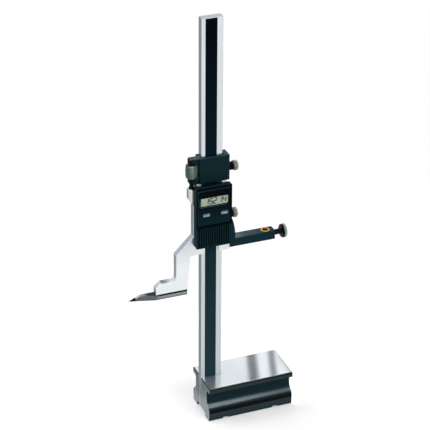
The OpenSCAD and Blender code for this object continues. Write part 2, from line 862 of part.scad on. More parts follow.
module guide_screws() {
    color([0.25, 0.25, 0.26])
        for (z = guide_screw_z())
            bar_x_dir([gib_x + gib_t, y_axis, z], gib_screw_r,
                xs - gib_screw_sink - gib_x - gib_t);
}

module fine_rod() {
    color([0.5, 0.51, 0.52])
        bar_z_dir([rod_x, rod_y, z_high - rod_sink], rod_r, rod_sink + rod_up);
}

module lock_nut() {
    color([0.2, 0.2, 0.2])
        difference() {
            translate([rod_x, rod_y, z_high])
                rotate([0, 0, 30])
                    cylinder(h = nut_h, d = nut_w / cos(30), $fn = 6);
            bar_z_dir([rod_x, rod_y, z_high - over], rod_r + snug, nut_h + 2 * over);
        }
}

// whole scriber with its tip, without holes
module scriber_shape() {
    right = x0 - leg_in_low;
    tip = x0 - scriber_out;
    intersection() {
        translate([0, 0, z0])
            linear_extrude(height = scriber_h)
                polygon([[right, yf], [x0 - scriber_bevel, yf],
                    [tip, yf + arm_t - scriber_nose], [tip, yf + arm_t], [right, yf + arm_t]]);
        slab_y(yf, arm_t)
            polygon([[tip, z0], [right, z0], [right, z_foot],
                [x0 - scriber_slope, z_foot], [tip, z0 + scriber_edge]]);
    }
}

module tip_zone() {
    block([x0 - scriber_out - over, yf - over, z0 - over],
        [x0 - scriber_out + tip_l, yf + arm_t + over, z_foot + over]);
}

module scriber() {
    color([0.5, 0.52, 0.53])
        difference() {
            scriber_shape();
            tip_zone();
            for (x = scriber_screw_x()) {
                bar_z_dir([x, yf + arm_t / 2, z0 - over], scr_r + snug, scriber_h + 2 * over);
                bar_z_dir([x, yf + arm_t / 2, z0 - over], scr_head_r + snug,
                    scr_head_h + scr_sink + over);
            }
        }
}

module scriber_tip() {
    color([0.2, 0.21, 0.22])
        intersection() {
            scriber_shape();
            tip_zone();
        }
}

module scriber_screws() {
    color([0.3, 0.3, 0.31])
        for (x = scriber_screw_x())
            difference() {
                union() {
                    bar_z_dir([x, yf + arm_t / 2, z0 + scr_sink], scr_head_r, scr_head_h);
                    bar_z_dir([x, yf + arm_t / 2, z0 + scr_sink], scr_r,
                        scriber_h - scr_sink + scr_depth);
                }
                block([x - scr_head_r, yf + (arm_t - scr_slot) / 2, z0 - over],
                    [x + scr_head_r, yf + (arm_t + scr_slot) / 2, z0 + scr_sink + scr_slot_d]);
            }
}

module head_casing() {
    post_x = [x0 - board_left + post_in, x0 + board_right - post_in];
    post_z = [z0 + board_low + post_in, z0 + board_high - post_in];
    glass_top = z0 + win_low + win_h + glass_above;
    color([0.07, 0.09, 0.1])
        difference() {
            union() {
                difference() {
                    union() {
                        block([h_left, h_front, h_low], [h_right, yf, h_high]);
                        intersection() {
                            bar_y_dir([x0 + swell_out - swell_r, h_front, z0 + swell_z],
                                swell_r, head_d);
                            block([x_axis, h_front, h_low], [x_axis + base_l, yf, h_high]);
                        }
                    }
                    block([c_left, h_front - over, c_low], [c_right, c_back, c_high]);
                }
                block([c_left, h_front, cross_z - cross_w / 2],
                    [c_right, h_front + cross_t, cross_z + cross_w / 2]);
                block([c_left, cover_back, c_low],
                    [c_left + cover_ledge, yf, cross_z - cross_w / 2]);
                block([c_right - cover_ledge, cover_back, c_low],
                    [c_right, yf, cross_z - cross_w / 2]);
                block([c_left, g_back, glass_top - ledge_w], [c_right, yf, glass_top]);
                for (x = post_x, z = post_z)
                    bar_y_dir([x, b_back, z], post_r, yf - b_back);
            }
            for (p = head_screw_points()) {
                bar_y_dir([p[0], h_front, p[1]], head_screw_r + snug, head_d + over);
                bar_y_dir([p[0], h_front, p[1]], head_screw_head_r + run_gap,
                    head_d - wall_rear);
            }
        }
}

module head_screws() {
    color([0.5, 0.5, 0.52])
        for (p = head_screw_points()) {
            bar_y_dir([p[0], c_back - head_screw_head_h, p[1]], head_screw_head_r,
                head_screw_head_h);
            bar_y_dir([p[0], c_back - head_screw_head_h, p[1]], head_screw_r,
                head_screw_head_h + wall_rear + head_screw_depth);
        }
}

// face plate's outline with rounded lower corners
module plate_outline() {
    left = x0 - plate_left;
    right = x0 + plate_right;
    low = z0 + plate_low;
    translate([left, low + plate_r])
        square([right - left, h_high - plate_top_gap - low - plate_r]);
    translate([left + plate_r, low])
        square([right - left - 2 * plate_r, plate_r]);
    for (x = [left + plate_r, right - plate_r])
        translate([x, low + plate_r])
            circle(r = plate_r);
}

module face_plate() {
    color([0.04, 0.06, 0.07])
        difference() {
            slab_y(p_front, plate_t)
                plate_outline();
            block([x0 - win_left, p_front - over, z0 + win_low],
                [x0 - win_left + win_w, h_front + over, z0 + win_low + win_h]);
            for (x = button_x)
                block([x - button_w / 2 - button_gap, p_front - over,
                    bz - button_h / 2 - button_gap],
                    [x + button_w / 2 + button_gap, h_front + over,
                    bz + button_h / 2 + button_gap]);
        }
}

module display_window() {
    color([0.8, 0.85, 0.8, 0.3])
        block([x0 - win_left + win_gap, p_front + win_sink, z0 + win_low + win_gap],
            [x0 - win_left + win_w - win_gap, p_front + win_sink + win_t,
            z0 + win_low + win_h - win_gap]);
}

module display_glass() {
    color([0.7, 0.76, 0.66])
        block([x0 - win_left - glass_side, g_front, z0 + win_low - glass_below],
            [x0 - win_left + win_w + glass_side, g_back, z0 + win_low + win_h + glass_above]);
}

module contact_strip() {
    low = z0 + win_low - glass_below + contact_in;
    color([0.15, 0.15, 0.15])
        block([x0 - win_left + contact_in, g_back, low],
            [x0 - win_left + win_w - contact_in, b_front, low + contact_w]);
}

module circuit_board() {
    color([0.1, 0.35, 0.2])
        block([x0 - board_left, b_front, z0 + board_low],
            [x0 + board_right, b_back, z0 + board_high]);
}

module key_sheet() {
    color([0.3, 0.3, 0.32]) {
        block([button_x[0] - button_w / 2 - sheet_in, b_front - sheet_t,
            bz - button_h / 2 - sheet_in],
            [button_x[1] + button_w / 2, b_front, bz + button_h / 2 + sheet_in]);
        for (x = button_x)
            block([x - button_w / 4, b_front - dome_h, bz - button_h / 4],
                [x + button_w / 4, b_front, bz + button_h / 4]);
    }
}

module button(x) {
    block([x - button_w / 2, p_front - button_out, bz - button_h / 2],
        [x + button_w / 2, b_front - dome_h - button_free, bz + button_h / 2]);
    block([x - button_w / 2 - button_rim, h_front + button_rim_gap,
        bz - button_h / 2 - button_rim],
        [x + button_w / 2 + button_rim, h_front + button_rim_gap + button_rim_t,
        bz + button_h / 2 + button_rim]);
}

module power_button() {
    color([0.55, 0.62, 0.7])
        button(button_x[0]);
}

module zero_button() {
    color([0.6, 0.66, 0.74])
        button(button_x[1]);
}

module sensor_board() {
    mid = x0 + (lip_left + lip_right) / 2;
    color([0.12, 0.3, 0.2])
        block([mid - sensor_w / 2, yf, z0 + sensor_low],
            [mid + sensor_w / 2, yf + sensor_t, z0 + sensor_high]);
}

module battery() {
    color([0.75, 0.76, 0.77])
        bar_y_dir([x0 + (head_right - head_left) / 2, b_front - cell_t, z0 + cell_z],
            cell_r, cell_t);
}

module battery_spring() {
    mid = x0 + (head_right - head_left) / 2;
    top = z0 + cell_z + cell_r;
    color([0.8, 0.7, 0.45]) {
        block([mid - clip_w / 2, b_front - cell_t - clip_t, top - clip_lap],
            [mid + clip_w / 2, b_front - cell_t, top + 2 * clip_t]);
        block([mid - clip_w / 2, b_front - cell_t - clip_t, top + clip_t],
            [mid + clip_w / 2, b_front, top + 2 * clip_t]);
    }
}

module battery_cover() {
    left = c_left + cover_gap;
    right = c_right - cover_gap;
    low = c_low + cover_gap;
    high = cross_z - cross_w / 2 - cover_gap;
    mid = (left + right) / 2;
    color([0.07, 0.1, 0.11]) {
        block([left, h_front + cover_gap, low], [right, cover_back, high]);
        for (i = [0:rib_n - 1])
            translate([mid + (i - (rib_n - 1) / 2) * rib_pitch, 0, 0])
                block([-rib_pitch * rib_share / 2, h_front + cover_gap - rib_h, low],
                    [rib_pitch * rib_share / 2, cover_back, high]);
    }
}

// bevelled rectangle, centred
module bevel_square(w, h, b) {
    polygon([[-w / 2 + b, -h / 2], [w / 2 - b, -h / 2], [w / 2, -h / 2 + b],
        [w / 2, h / 2 - b], [w / 2 - b, h / 2], [-w / 2 + b, h / 2],
        [-w / 2, h / 2 - b], [-w / 2, -h / 2 + b]]);
}

module accessory_bar() {
    color([0.08, 0.11, 0.12])
        difference() {
            union() {
                slab_x(xs, bar_l)
                    translate([bar_mid_y, bar_mid_z])
                        bevel_square(bar_d, bar_h, bar_bevel);
                bar_x_dir([xs - tenon_l, bar_mid_y, bar_mid_z], tenon_r, 2 * tenon_l);
            }
            bar_z_dir([bush_x, bar_mid_y, bar_z - over], bush_r + snug, bar_h + 2 * over);
            bar_x_dir([bush_x, bar_mid_y, bar_mid_z], shank_r + shank_gap, base_l);
            bar_y_dir([xs - pin_in, bar_mid_y, bar_mid_z], pin_r + snug, base_d);
        }
}

module bar_pin() {
    color([0.3, 0.3, 0.31])
        bar_y_dir([xs - pin_in, bar_mid_y, bar_mid_z], pin_r, yr - bar_mid_y);
}

module clamp_bush() {
    color([0.78, 0.6, 0.25])
        difference() {
            bar_z_dir([bush_x, bar_mid_y, bar_z], bush_r, bar_h + bush_out);
            bar_z_dir([bush_x, bar_mid_y, bar_z - over], bush_bore, bar_h + 2 * over);
            block([bush_x - bush_slit / 2, bar_mid_y, bar_z - over],
                [bush_x + bush_slit / 2, bar_mid_y + base_d, bar_z + bar_h + over]);
        }
}

// thumb screw along X whose tip is at tip_x, in a wall that ends at wall_x
module thumb_screw(tip_x, wall_x, z) {
    bar_x_dir([tip_x, y_axis, z], shank_r, x_col + thumb_out - tip_x + thumb_l / 2);
    bar_x_dir([wall_x + collar_gap, y_axis, z], collar_r, x_col + thumb_out - wall_x - collar_gap);
    translate([x_col + thumb_out, y_axis, z])
        rotate([0, 90, 0])
            knurled(thumb_r, thumb_l, thumb_knurls, thumb_bevel, 0);
}

module slider_thumb_screw() {
    color([0.75, 0.76, 0.74])
        thumb_screw(gib_x + gib_t, xs, z0 + thumb_z);
}

module slider_pad() {
    color([0.78, 0.62, 0.3])
        bar_x_dir([gib_x, y_axis, z0 + thumb_z], pad_r, gib_t - gib_gap);
}

module bar_thumb_screw() {
    neck_x = bar_x + collar_gap;
    knob_x = neck_x + neck_l;
    tip_x = bush_x + bush_r + gib_gap;
    color([0.35, 0.36, 0.36]) {
        bar_x_dir([tip_x, bar_mid_y, bar_mid_z], shank_r, knob_x - tip_x);
        bar_x_dir([neck_x, bar_mid_y, bar_mid_z], neck_r, neck_l + knob_l / 2);
        translate([knob_x, bar_mid_y, bar_mid_z])
            rotate([0, 90, 0])
                knurled(knob_r, knob_l, knob_knurls, thumb_bevel, 0);
    }
}

function back_screw_points() = [
    [x0 - back_left, k_low + ear_plate_in + ear_plate_h / 2],
    [x0 - back_left, k_high - ear_plate_in - ear_plate_h / 2],
    [k_right - back_right, k_low + ear_plate_in + ear_plate_h / 2],
    [k_right - back_right, k_high - ear_plate_in - ear_plate_h / 2]];
function ear_heights() = [k_low + ear_plate_in, k_high - ear_plate_in - ear_plate_h];

module carriage_body() {
    fork_l = x0 - fork_out;
    b = fork_bevel;
    color([0.07, 0.17, 0.19])
        difference() {
            union() {
                block([k_left, k_front, k_low], [k_right, k_back, k_high]);
                slab_y(fork_y, fork_d)
                    polygon([[k_left, k_low], [fork_l + b, k_low], [fork_l, k_low + b],
                        [fork_l, arm_low], [k_left, arm_low]]);
                slab_y(fork_y, fork_d)
                    polygon([[k_left, k_high], [fork_l + b, k_high], [fork_l, k_high - b],
                        [fork_l, arm_high], [k_left, arm_high]]);
                for (z = ear_heights())
                    block([x0 - ear_plate, y_axis, z], [x0 - run_gap, k_back, z + ear_plate_h]);
            }
            block([x0 - run_gap, y0 - run_gap, k_low - over], [k_slot, k_back + over, k_high + over]);
            bar_z_dir([rod_x, rod_y, k_low - over], rod_r + fork_gap,
                carriage_h - rod_roof + over);
            bar_z_dir([rod_x, rod_y, arm_low], wheel_r + wheel_gap + run_gap, arm_high - arm_low);
            bar_x_dir([x_axis, y_axis, k_low + carriage_thumb], shank_r + shank_gap, base_l);
            for (p = back_screw_points())
                bar_y_dir([p[0], k_back - back_depth, p[1]], back_screw_r + snug, base_d);
        }
}

module carriage_back() {
    color([0.07, 0.15, 0.17])
        difference() {
            union() {
                block([k_left, k_back, k_low], [k_right, k_back + back_t, k_high]);
                for (z = ear_heights())
                    block([x0 - ear_plate, k_back, z], [k_left, k_back + back_t, z + ear_plate_h]);
            }
            for (p = back_screw_points()) {
                bar_y_dir([p[0], k_back - over, p[1]], back_screw_r + snug, base_d);
                bar_y_dir([p[0], k_back + back_t - back_head_h, p[1]], back_head_r + snug, base_d);
            }
        }
}

module carriage_screws() {
    color([0.4, 0.4, 0.42])
        for (p = back_screw_points()) {
            bar_y_dir([p[0], k_back + back_t - back_head_h, p[1]], back_head_r, back_head_h);
            bar_y_dir([p[0], k_back - back_depth, p[1]], back_screw_r, back_depth + back_t);
        }
}

module carriage_leaf() {
    color([0.75, 0.6, 0.35])
        difference() {
            block([leaf_x, y_axis - gib_w / 2, k_low + gib_end],
                [leaf_x + leaf_t, y_axis + gib_w / 2, k_high - gib_end]);
            bar_x_dir([x_axis, y_axis, k_low + carriage_thumb], pad_r + run_gap, base_l);
        }
}

module carriage_thumb_screw() {
    color([0.75, 0.76, 0.74])
        thumb_screw(leaf_x + leaf_t, k_right, k_low + carriage_thumb);
}

module carriage_pad() {
    color([0.78, 0.62, 0.3])
        bar_x_dir([leaf_x, y_axis, k_low + carriage_thumb], pad_r, leaf_t - gib_gap);
}

module fine_wheel() {
    h = arm_high - arm_low - 2 * wheel_gap;
    color([0.55, 0.62, 0.58])
        difference() {
            translate([rod_x, rod_y, arm_low + wheel_gap])
                knurled(wheel_r, h, wheel_knurls, wheel_bevel, wheel_crown);
            bar_z_dir([rod_x, rod_y, arm_low], rod_r + wheel_fit, arm_high - arm_low);
        }
}

base_block();
column();
scale_strip();
scale_film();
column_screws();
column_dowels();
slider_frame();
guide_strip();
guide_screws();
fine_rod();
lock_nut();
scriber();
scriber_tip();
scriber_screws();
head_casing();
head_screws();
face_plate();
display_window();
display_glass();
contact_strip();
circuit_board();
key_sheet();
sensor_board();
battery();
battery_spring();
battery_cover();
accessory_bar();
bar_pin();
clamp_bush();
slider_thumb_screw();
slider_pad();
bar_thumb_screw();
power_button();
zero_button();
carriage_body();
carriage_back();
carriage_screws();
carriage_leaf();
carriage_thumb_screw();
carriage_pad();
fine_wheel();
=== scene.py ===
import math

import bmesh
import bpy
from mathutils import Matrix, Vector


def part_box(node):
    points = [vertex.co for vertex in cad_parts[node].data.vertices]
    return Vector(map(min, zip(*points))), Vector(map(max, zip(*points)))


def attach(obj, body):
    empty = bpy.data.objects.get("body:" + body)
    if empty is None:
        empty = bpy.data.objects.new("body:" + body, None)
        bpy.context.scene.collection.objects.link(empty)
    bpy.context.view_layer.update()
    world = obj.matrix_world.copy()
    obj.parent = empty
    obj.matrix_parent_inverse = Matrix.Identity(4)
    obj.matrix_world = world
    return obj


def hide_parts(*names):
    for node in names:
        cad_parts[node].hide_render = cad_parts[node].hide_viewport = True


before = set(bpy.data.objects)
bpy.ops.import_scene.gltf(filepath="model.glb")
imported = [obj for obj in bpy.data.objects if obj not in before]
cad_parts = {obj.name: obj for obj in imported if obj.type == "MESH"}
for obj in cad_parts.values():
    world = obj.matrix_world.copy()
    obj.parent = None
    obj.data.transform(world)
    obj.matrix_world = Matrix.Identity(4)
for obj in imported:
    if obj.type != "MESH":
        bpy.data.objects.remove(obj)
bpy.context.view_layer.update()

# Digital height gauge: a cast base with a lapped top, a ground steel column with its
# scale, a fine adjustment carriage, and a slider with a reading head, a scriber arm and
# an accessory bar. Everything is in the frame of the CAD model. Sizes written here are in
# millimetres and are turned to metres with mm, apart from the studio's, which are in metres.

mm = 0.001


# ---------------------------------------------------------------- nodes

def linear(hex_colour):
    """An sRGB hex colour as linear red, green, blue and alpha."""
    parts = [int(hex_colour[i:i + 2], 16) / 255 for i in (1, 3, 5)]
    return [p / 12.92 if p <= 0.04045 else ((p + 0.055) / 1.055) ** 2.4 for p in parts] + [1.0]


white = linear("#ffffff")
# Sockets of a Mix node for colours: the share, the two colours and the result.
mix_share, mix_first, mix_second, mix_result = 0, 6, 7, 2


def add(tree, kind, settings=None, links=None):
    """Adds one shader node, sets its values and feeds its inputs."""
    made = tree.nodes.new("ShaderNode" + kind)
    for name, value in (settings or {}).items():
        if isinstance(name, int) or name in made.inputs:
            made.inputs[name].default_value = value
        else:
            setattr(made, name, value)
    for name, source in (links or {}).items():
        tree.links.new(source, made.inputs[name])
    return made


def blank(name):
    """A new material with an empty node tree."""
    material = bpy.data.materials.new(name)
    material.use_nodes = True
    material.node_tree.nodes.clear()
    return material, material.node_tree


# ---------------------------------------------------------------- finishes

# The part of a noise's range that nearly all of its values lie in.
noise_span = {"From Min": 0.3, "From Max": 0.7}


def finish(name, colour, dark, shader, grain, mottle=0.0, rough=None, relief=0.0, fades=()):
    """A material whose grain, of the given size along X, Y and Z, varies its colour between the first one
    and the dark one, its roughness, and its surface. Each of the fades turns the colour to another one
    along an axis, between two places on the piece: painted light, shade and reflections, soft changes of
    colour that stand in for how the light falls."""
    material, tree = blank(name)
    place = add(tree, "TexCoord")
    cells = add(tree, "Mapping", {"Scale": [1 / (size * mm) for size in grain]},
                {"Vector": place.outputs["Object"]})
    noise = add(tree, "TexNoise", {"Scale": 1.0, "Detail": 3, "Roughness": 0.6},
                {"Vector": cells.outputs["Vector"]}).outputs["Fac"]
    surface = add(tree, "BsdfPrincipled", {"Base Color": linear(colour), **shader})
    if dark:
        share = add(tree, "MapRange", {**noise_span, "To Min": 0.0, "To Max": mottle}, {"Value": noise})
        tint = add(tree, "Mix", {"data_type": "RGBA", mix_first: linear(colour), mix_second: linear(dark)},
                   {mix_share: share.outputs["Result"]})
        if fades:
            axes = add(tree, "SeparateXYZ", {}, {0: place.outputs["Object"]})
        for axis, start, end, turns_to in fades:
            reach = add(tree, "MapRange", {"From Min": start * mm, "From Max": end * mm},
                        {"Value": axes.outputs[axis]})
            tint = add(tree, "Mix", {"data_type": "RGBA", mix_second: linear(turns_to)},
                       {mix_share: reach.outputs["Result"], mix_first: tint.outputs[mix_result]})
        tree.links.new(tint.outputs[mix_result], surface.inputs["Base Color"])
    if rough:
        sheen = add(tree, "MapRange", {**noise_span, "To Min": rough[0], "To Max": rough[1]},
                    {"Value": noise})
        tree.links.new(sheen.outputs["Result"], surface.inputs["Roughness"])
    if relief:
        bump = add(tree, "Bump", {"Strength": 1.0, "Distance": relief * mm}, {"Height": noise})
        tree.links.new(bump.outputs["Normal"], surface.inputs["Normal"])
    add(tree, "OutputMaterial", {}, {"Surface": surface.outputs["BSDF"]})
    return material


def metal(roughness):
    """Settings of a bare or plated metal."""
    return {"Metallic": 1.0, "Roughness": roughness}


def coating(roughness, gloss):
    """Settings of paint, film or plastic; black ones have hardly any gloss of their own."""
    return {"Roughness": roughness, "Specular IOR Level": gloss}


# Ground steel: a pale metal with faint grinding lines along the length of the part. The
# real lines are about 0.1 mm apart, and are drawn coarser so that they show.
# The column is painted darker towards its foot, painted shade.
column_steel = finish(
    "ground steel, column", "#dde2e4", "#c3cacd", metal(0.26),
    grain=(0.6, 0.6, 60), mottle=0.6, rough=(0.2, 0.34), relief=0.002,
    fades=[("Z", 40, 22, "#8f999e")])
# The column's sawn end is duller, with the saw's marks across it.
column_end_steel = finish(
    "ground steel, sawn end of the column", "#b4bcc1", "#9ea7ad", metal(0.3),
    grain=(0.6, 20, 0.6), mottle=0.6, rough=(0.26, 0.38), relief=0.002)
# The slider's frame is ground like the column, and painted paler down the arm, a painted reflection.
frame_steel = finish(
    "ground steel, slider", "#dfe3e5", "#c9cfd3", metal(0.28),
    grain=(0.6, 0.6, 40), mottle=0.5, rough=(0.22, 0.36), relief=0.002,
    fades=[("Z", 212, 186, "#f6fafb")])
# The slider's top edge is painted dark under the carriage, near the thread of the fine adjustment, and
# grey past it towards the column: painted shade of the carriage above it.
top_shade_steel = finish(
    "ground steel, top with painted shade", "#dfe3e5", "#c9cfd3", metal(0.3),
    grain=(2, 2, 2), mottle=0.6, rough=(0.26, 0.4),
    fades=[("X", -19.0, -18.0, "#14191b"), ("X", -11.8, -10.8, "#b9bec0")])
# The foot that carries the scriber is ground across; its top is painted dark towards its outer end and
# pale near the frame, painted shade and reflection.
foot_steel = finish(
    "surface ground steel, top of the foot", "#8a9498", "#7a8488", metal(0.34),
    grain=(0.6, 40, 0.6), mottle=0.5, rough=(0.28, 0.4), relief=0.002,
    fades=[("X", -54, -42, "#e4e8ea")])
# Tool steel: darker than the frame, ground along the blade, with a painted shadow under the foot, painted
# shade along its lower edge, and painted darker towards its point.
scriber_steel = finish(
    "ground tool steel, scriber", "#9da2a5", "#7f8589", metal(0.3),
    grain=(20, 0.5, 0.5), mottle=0.7, rough=(0.22, 0.4), relief=0.002,
    fades=[("Z", 155.9, 156.5, "#0f171a"), ("Z", 154.0, 152.4, "#4b5255"), ("X", -56, -61, "#666c70")])
# The scriber's top is darker than its sides, and painted pale towards its point, a painted reflection.
scriber_top_steel = finish(
    "blackened tool steel, scriber", "#30393d", "#232b2e", metal(0.35),
    grain=(20, 0.5, 0.5), mottle=0.7, rough=(0.3, 0.45),
    fades=[("X", -68, -81, "#d3d7d9")])
# Cemented carbide: a dark fine-grained ground metal.
carbide = finish(
    "cemented carbide, ground", "#16211f", "#0b1413", metal(0.3),
    grain=(0.5, 0.5, 0.5), mottle=0.6, rough=(0.25, 0.4))
# Lapped cast iron: the top of the base, almost a mirror, with a very faint cloudiness. A thin film of oil
# scatters a little light, so it isn't wholly metallic. It is painted paler towards its right end, a
# painted reflection.
lapped_iron = finish(
    "cast iron, lapped", "#e2e9ec", "#d6dee2", {"Metallic": 0.86, "Roughness": 0.2},
    grain=(8, 8, 8), mottle=0.4, rough=(0.19, 0.22),
    fades=[("X", 30, 60, "#f0f6f9")])
# Milled cast iron: the ends and the sole of the base, grey with fine cutter marks.
milled_iron = finish(
    "cast iron, milled", "#98a2a4", "#7d8789", metal(0.42),
    grain=(0.8, 0.8, 25), mottle=0.7, rough=(0.36, 0.5), relief=0.004)
# Stoved enamel on cast iron: black with a teal tint, a soft gloss and a faint orange peel.
# It is painted blacker in the hollow under the edge band and under the belly, painted shade.
base_enamel = finish(
    "stoved enamel, base", "#152d35", "#10242b", coating(0.3, 0.04),
    grain=(2, 2, 2), mottle=0.6, rough=(0.24, 0.32), relief=0.006,
    fades=[("Z", 28.5, 32.5, "#05090b"), ("Z", 15.5, 12.5, "#070d10")])
# The edge band and the foot of the base are rubbed matt; the band's top corner is black.
matt_enamel = finish(
    "stoved enamel, matt", "#26373a", "#1e2d30", coating(0.55, 0.08),
    grain=(1.5, 1.5, 1.5), mottle=0.6, rough=(0.45, 0.6), relief=0.01,
    fades=[("Z", 39.4, 40.0, "#020405")])
# The carriage's enamel is painted black in the groove beside the fork and darker round the wheel, painted
# shade.
carriage_enamel = finish(
    "stoved enamel, carriage", "#0b2d34", "#0c2328", coating(0.45, 0.05),
    grain=(1.5, 1.5, 1.5), mottle=0.6, rough=(0.4, 0.52), relief=0.01,
    fades=[("X", -11.4, -12.2, "#030708"), ("X", -12.8, -13.6, "#0c292f"), ("X", -17, -21, "#070f12")])
# The carriage's top is painted a shade paler, painted light falling on it.
carriage_lit_top_enamel = finish(
    "stoved enamel, carriage top, painted light", "#3b4d55", "#2c3d44", coating(0.4, 0.08),
    grain=(1.5, 1.5, 1.5), mottle=0.6, rough=(0.36, 0.48), relief=0.01)
# The bar's enamel is bluer and smoother than the carriage's.
bar_enamel = finish(
    "stoved enamel, bar", "#10333c", "#0e2830", coating(0.4, 0.03),
    grain=(1.5, 1.5, 1.5), mottle=0.6, rough=(0.36, 0.48), relief=0.01)
# The bar's top is painted pale near the head, fading along it, a painted highlight.
bar_top_highlight_enamel = finish(
    "stoved enamel, bar top, painted highlight", "#838f91", "#6c797c", coating(0.35, 0.1),
    grain=(1.5, 1.5, 1.5), mottle=0.6, rough=(0.3, 0.42), relief=0.01,
    fades=[("X", 25, 40, "#3a4a50"), ("X", 40, 58, "#22343a"), ("X", 58, 70, "#18292f")])
# Moulded ABS: black, with the fine spark-eroded grain of the mould. The middle of the casing's side is
# painted a little bluer and paler, a painted highlight, and its lower half turns bluer like the battery
# cover.
head_abs = finish(
    "moulded ABS, head", "#061013", "#040b0d", coating(0.5, 0.03),
    grain=(0.8, 0.8, 0.8), mottle=0.7, rough=(0.45, 0.58), relief=0.012,
    fades=[("Y", -4.2, -5.2, "#15323a"), ("Y", -8.2, -9.0, "#050b0d"), ("Z", 232.4, 231.2, "#0e2d34")])
# The battery cover is bluer than the casing, and painted black along its top edge, the shadow of the face
# plate above it.
cover_abs = finish(
    "moulded ABS, battery cover", "#0e2a33", "#0a2027", coating(0.5, 0.03),
    grain=(0.8, 0.8, 0.8), mottle=0.7, rough=(0.45, 0.58), relief=0.012,
    fades=[("Z", 231.4, 232.4, "#04090b")])
# Between the ribs the moulding is rough, and painted black as shade.
rib_gap_shade = finish(
    "moulded ABS, painted shade between the ribs", "#02090b", "#010506", coating(0.6, 0.02),
    grain=(0.8, 0.8, 0.8), mottle=0.7, rough=(0.55, 0.7))
# Printed polycarbonate film: smooth black with a low gloss, and a black border outside it, which along the
# lower edge is painted shadow. Its teal towards the keys is a painted reflection, and the thin teal line
# along its top and left side a painted highlight on its edge.
plate_film = finish(
    "polycarbonate film, face plate", "#03080b", "#020507", coating(0.22, 0.03),
    grain=(6, 6, 6), mottle=0.4, rough=(0.2, 0.26),
    fades=[("Z", 262, 240, "#08252e"), ("Z", 236.0, 235.2, "#010304"),
           ("X", -16.1, -16.5, "#12363e"), ("X", -16.8, -17.1, "#010304"),
           ("X", 17.7, 18.7, "#010304"),
           ("Z", 274.5, 274.9, "#183f47"), ("Z", 275.2, 275.6, "#020607")])
# A pale film that stands for the highlight on the edge of the window's opening.
glint_film = finish(
    "polyester film, painted highlight", "#6a7a73", "#33413d", coating(0.4, 0.1),
    grain=(1, 1, 1), mottle=0.8, rough=(0.35, 0.5))
# Scale film: a dark glossy laminate over the measuring strip. It is painted paler towards its foot, a
# painted reflection, and darker along its edges, painted shade.
scale_film = finish(
    "polyester film, scale", "#020b10", "#03131a", coating(0.2, 0.015),
    grain=(10, 10, 60), mottle=0.5, rough=(0.16, 0.24),
    fades=[("Z", 440, 320, "#0a1d27"), ("Z", 320, 60, "#243b43"),
           ("X", -3.7, -4.5, "#060f11"), ("X", 6.6, 7.4, "#060f11")])
# Cast acrylic: the clear cover over the display.
clear_acrylic = finish(
    "acrylic, clear", "#fbfffb", None,
    {"Roughness": 0.02, "IOR": 1.49, "Transmission Weight": 1.0, "Specular IOR Level": 0.3},
    grain=(5, 5, 5), rough=(0.01, 0.03))
# Liquid crystal display: a flat greenish grey reflector behind glass.
display_grey = finish(
    "liquid crystal display, reflector", "#b7c3aa", "#aab69d", coating(0.35, 0.3),
    grain=(3, 3, 3), mottle=0.5, rough=(0.3, 0.4))
# The segments that are lit are almost black, without gloss.
display_ink = finish(
    "liquid crystal display, segment", "#262e28", "#1e2621", coating(0.35, 0.1),
    grain=(1, 1, 1), mottle=0.5)
# Moulded silicone key: a soft bluish grey with a slight sheen, painted dark at its top edge, shade from
# the recess it sits in.
key_grey = finish(
    "moulded silicone, key", "#96a6b2", "#8490a0", coating(0.5, 0.3),
    grain=(1, 1, 1), mottle=0.5, rough=(0.45, 0.6), relief=0.008,
    fades=[("Z", 247.6, 248.7, "#39454c")])
# Nickel plating on turned steel: bright, slightly warm, with dark turning marks.
nickel = finish(
    "nickel plate, turned", "#898c80", "#454840", metal(0.2),
    grain=(0.8, 4, 4), mottle=0.7, rough=(0.16, 0.26))
# The outer rim of a thumb screw's head is a little smoother, and painted bright as a highlight.
rim_highlight_nickel = finish(
    "nickel plate, rim with painted highlight", "#d6dad7", "#b3b8b4", metal(0.16),
    grain=(0.6, 3, 3), mottle=0.5, rough=(0.12, 0.2))
# The knob's rim is a little duller than a thumb screw's rim, though still painted paler than plain nickel
# as a highlight.
knob_nickel = finish(
    "nickel plate, knob", "#a3ada9", "#7b8581", metal(0.2),
    grain=(0.6, 3, 3), mottle=0.5, rough=(0.16, 0.26))
# Satin chrome on the adjusting wheel, painted darker towards its left and right sides as shade, so that it
# looks brightest at its front; its grain streaks it strongly light and dark along its height, partly satin
# grain and partly painted reflections.
satin_chrome = finish(
    "satin chrome, wheel", "#b3c4ba", "#55675f", metal(0.26),
    grain=(1.4, 1.4, 24), mottle=0.9, rough=(0.22, 0.38),
    fades=[("X", -21.8, -23.6, "#4b615a"), ("X", -20.0, -17.6, "#4b6059")])
# Black oxide on steel: small screws, the bar screw's neck and the nut.
black_oxide = finish(
    "black oxide on steel", "#1d2324", "#0c1011", metal(0.3),
    grain=(0.8, 0.8, 0.8), mottle=0.7, rough=(0.24, 0.4))
# Collars and the knob's disc are painted blacker, as shade, and hardly shine.
shade_black_steel = finish(
    "steel, painted shade on collars and the disc", "#0d1213", "#06090a", metal(0.35),
    grain=(0.8, 0.8, 0.8), mottle=0.7, rough=(0.3, 0.45))
# Turned brass, lightly tarnished.
brass = finish(
    "brass, turned", "#d3a552", "#a97c35", metal(0.3),
    grain=(1, 1, 0.4), mottle=0.6, rough=(0.24, 0.4))
# Rolled spring bronze, with rolling marks along the strip.
bronze = finish(
    "spring bronze, rolled", "#c09a5c", "#9a7740", metal(0.35),
    grain=(0.6, 0.6, 12), mottle=0.6, rough=(0.28, 0.45))
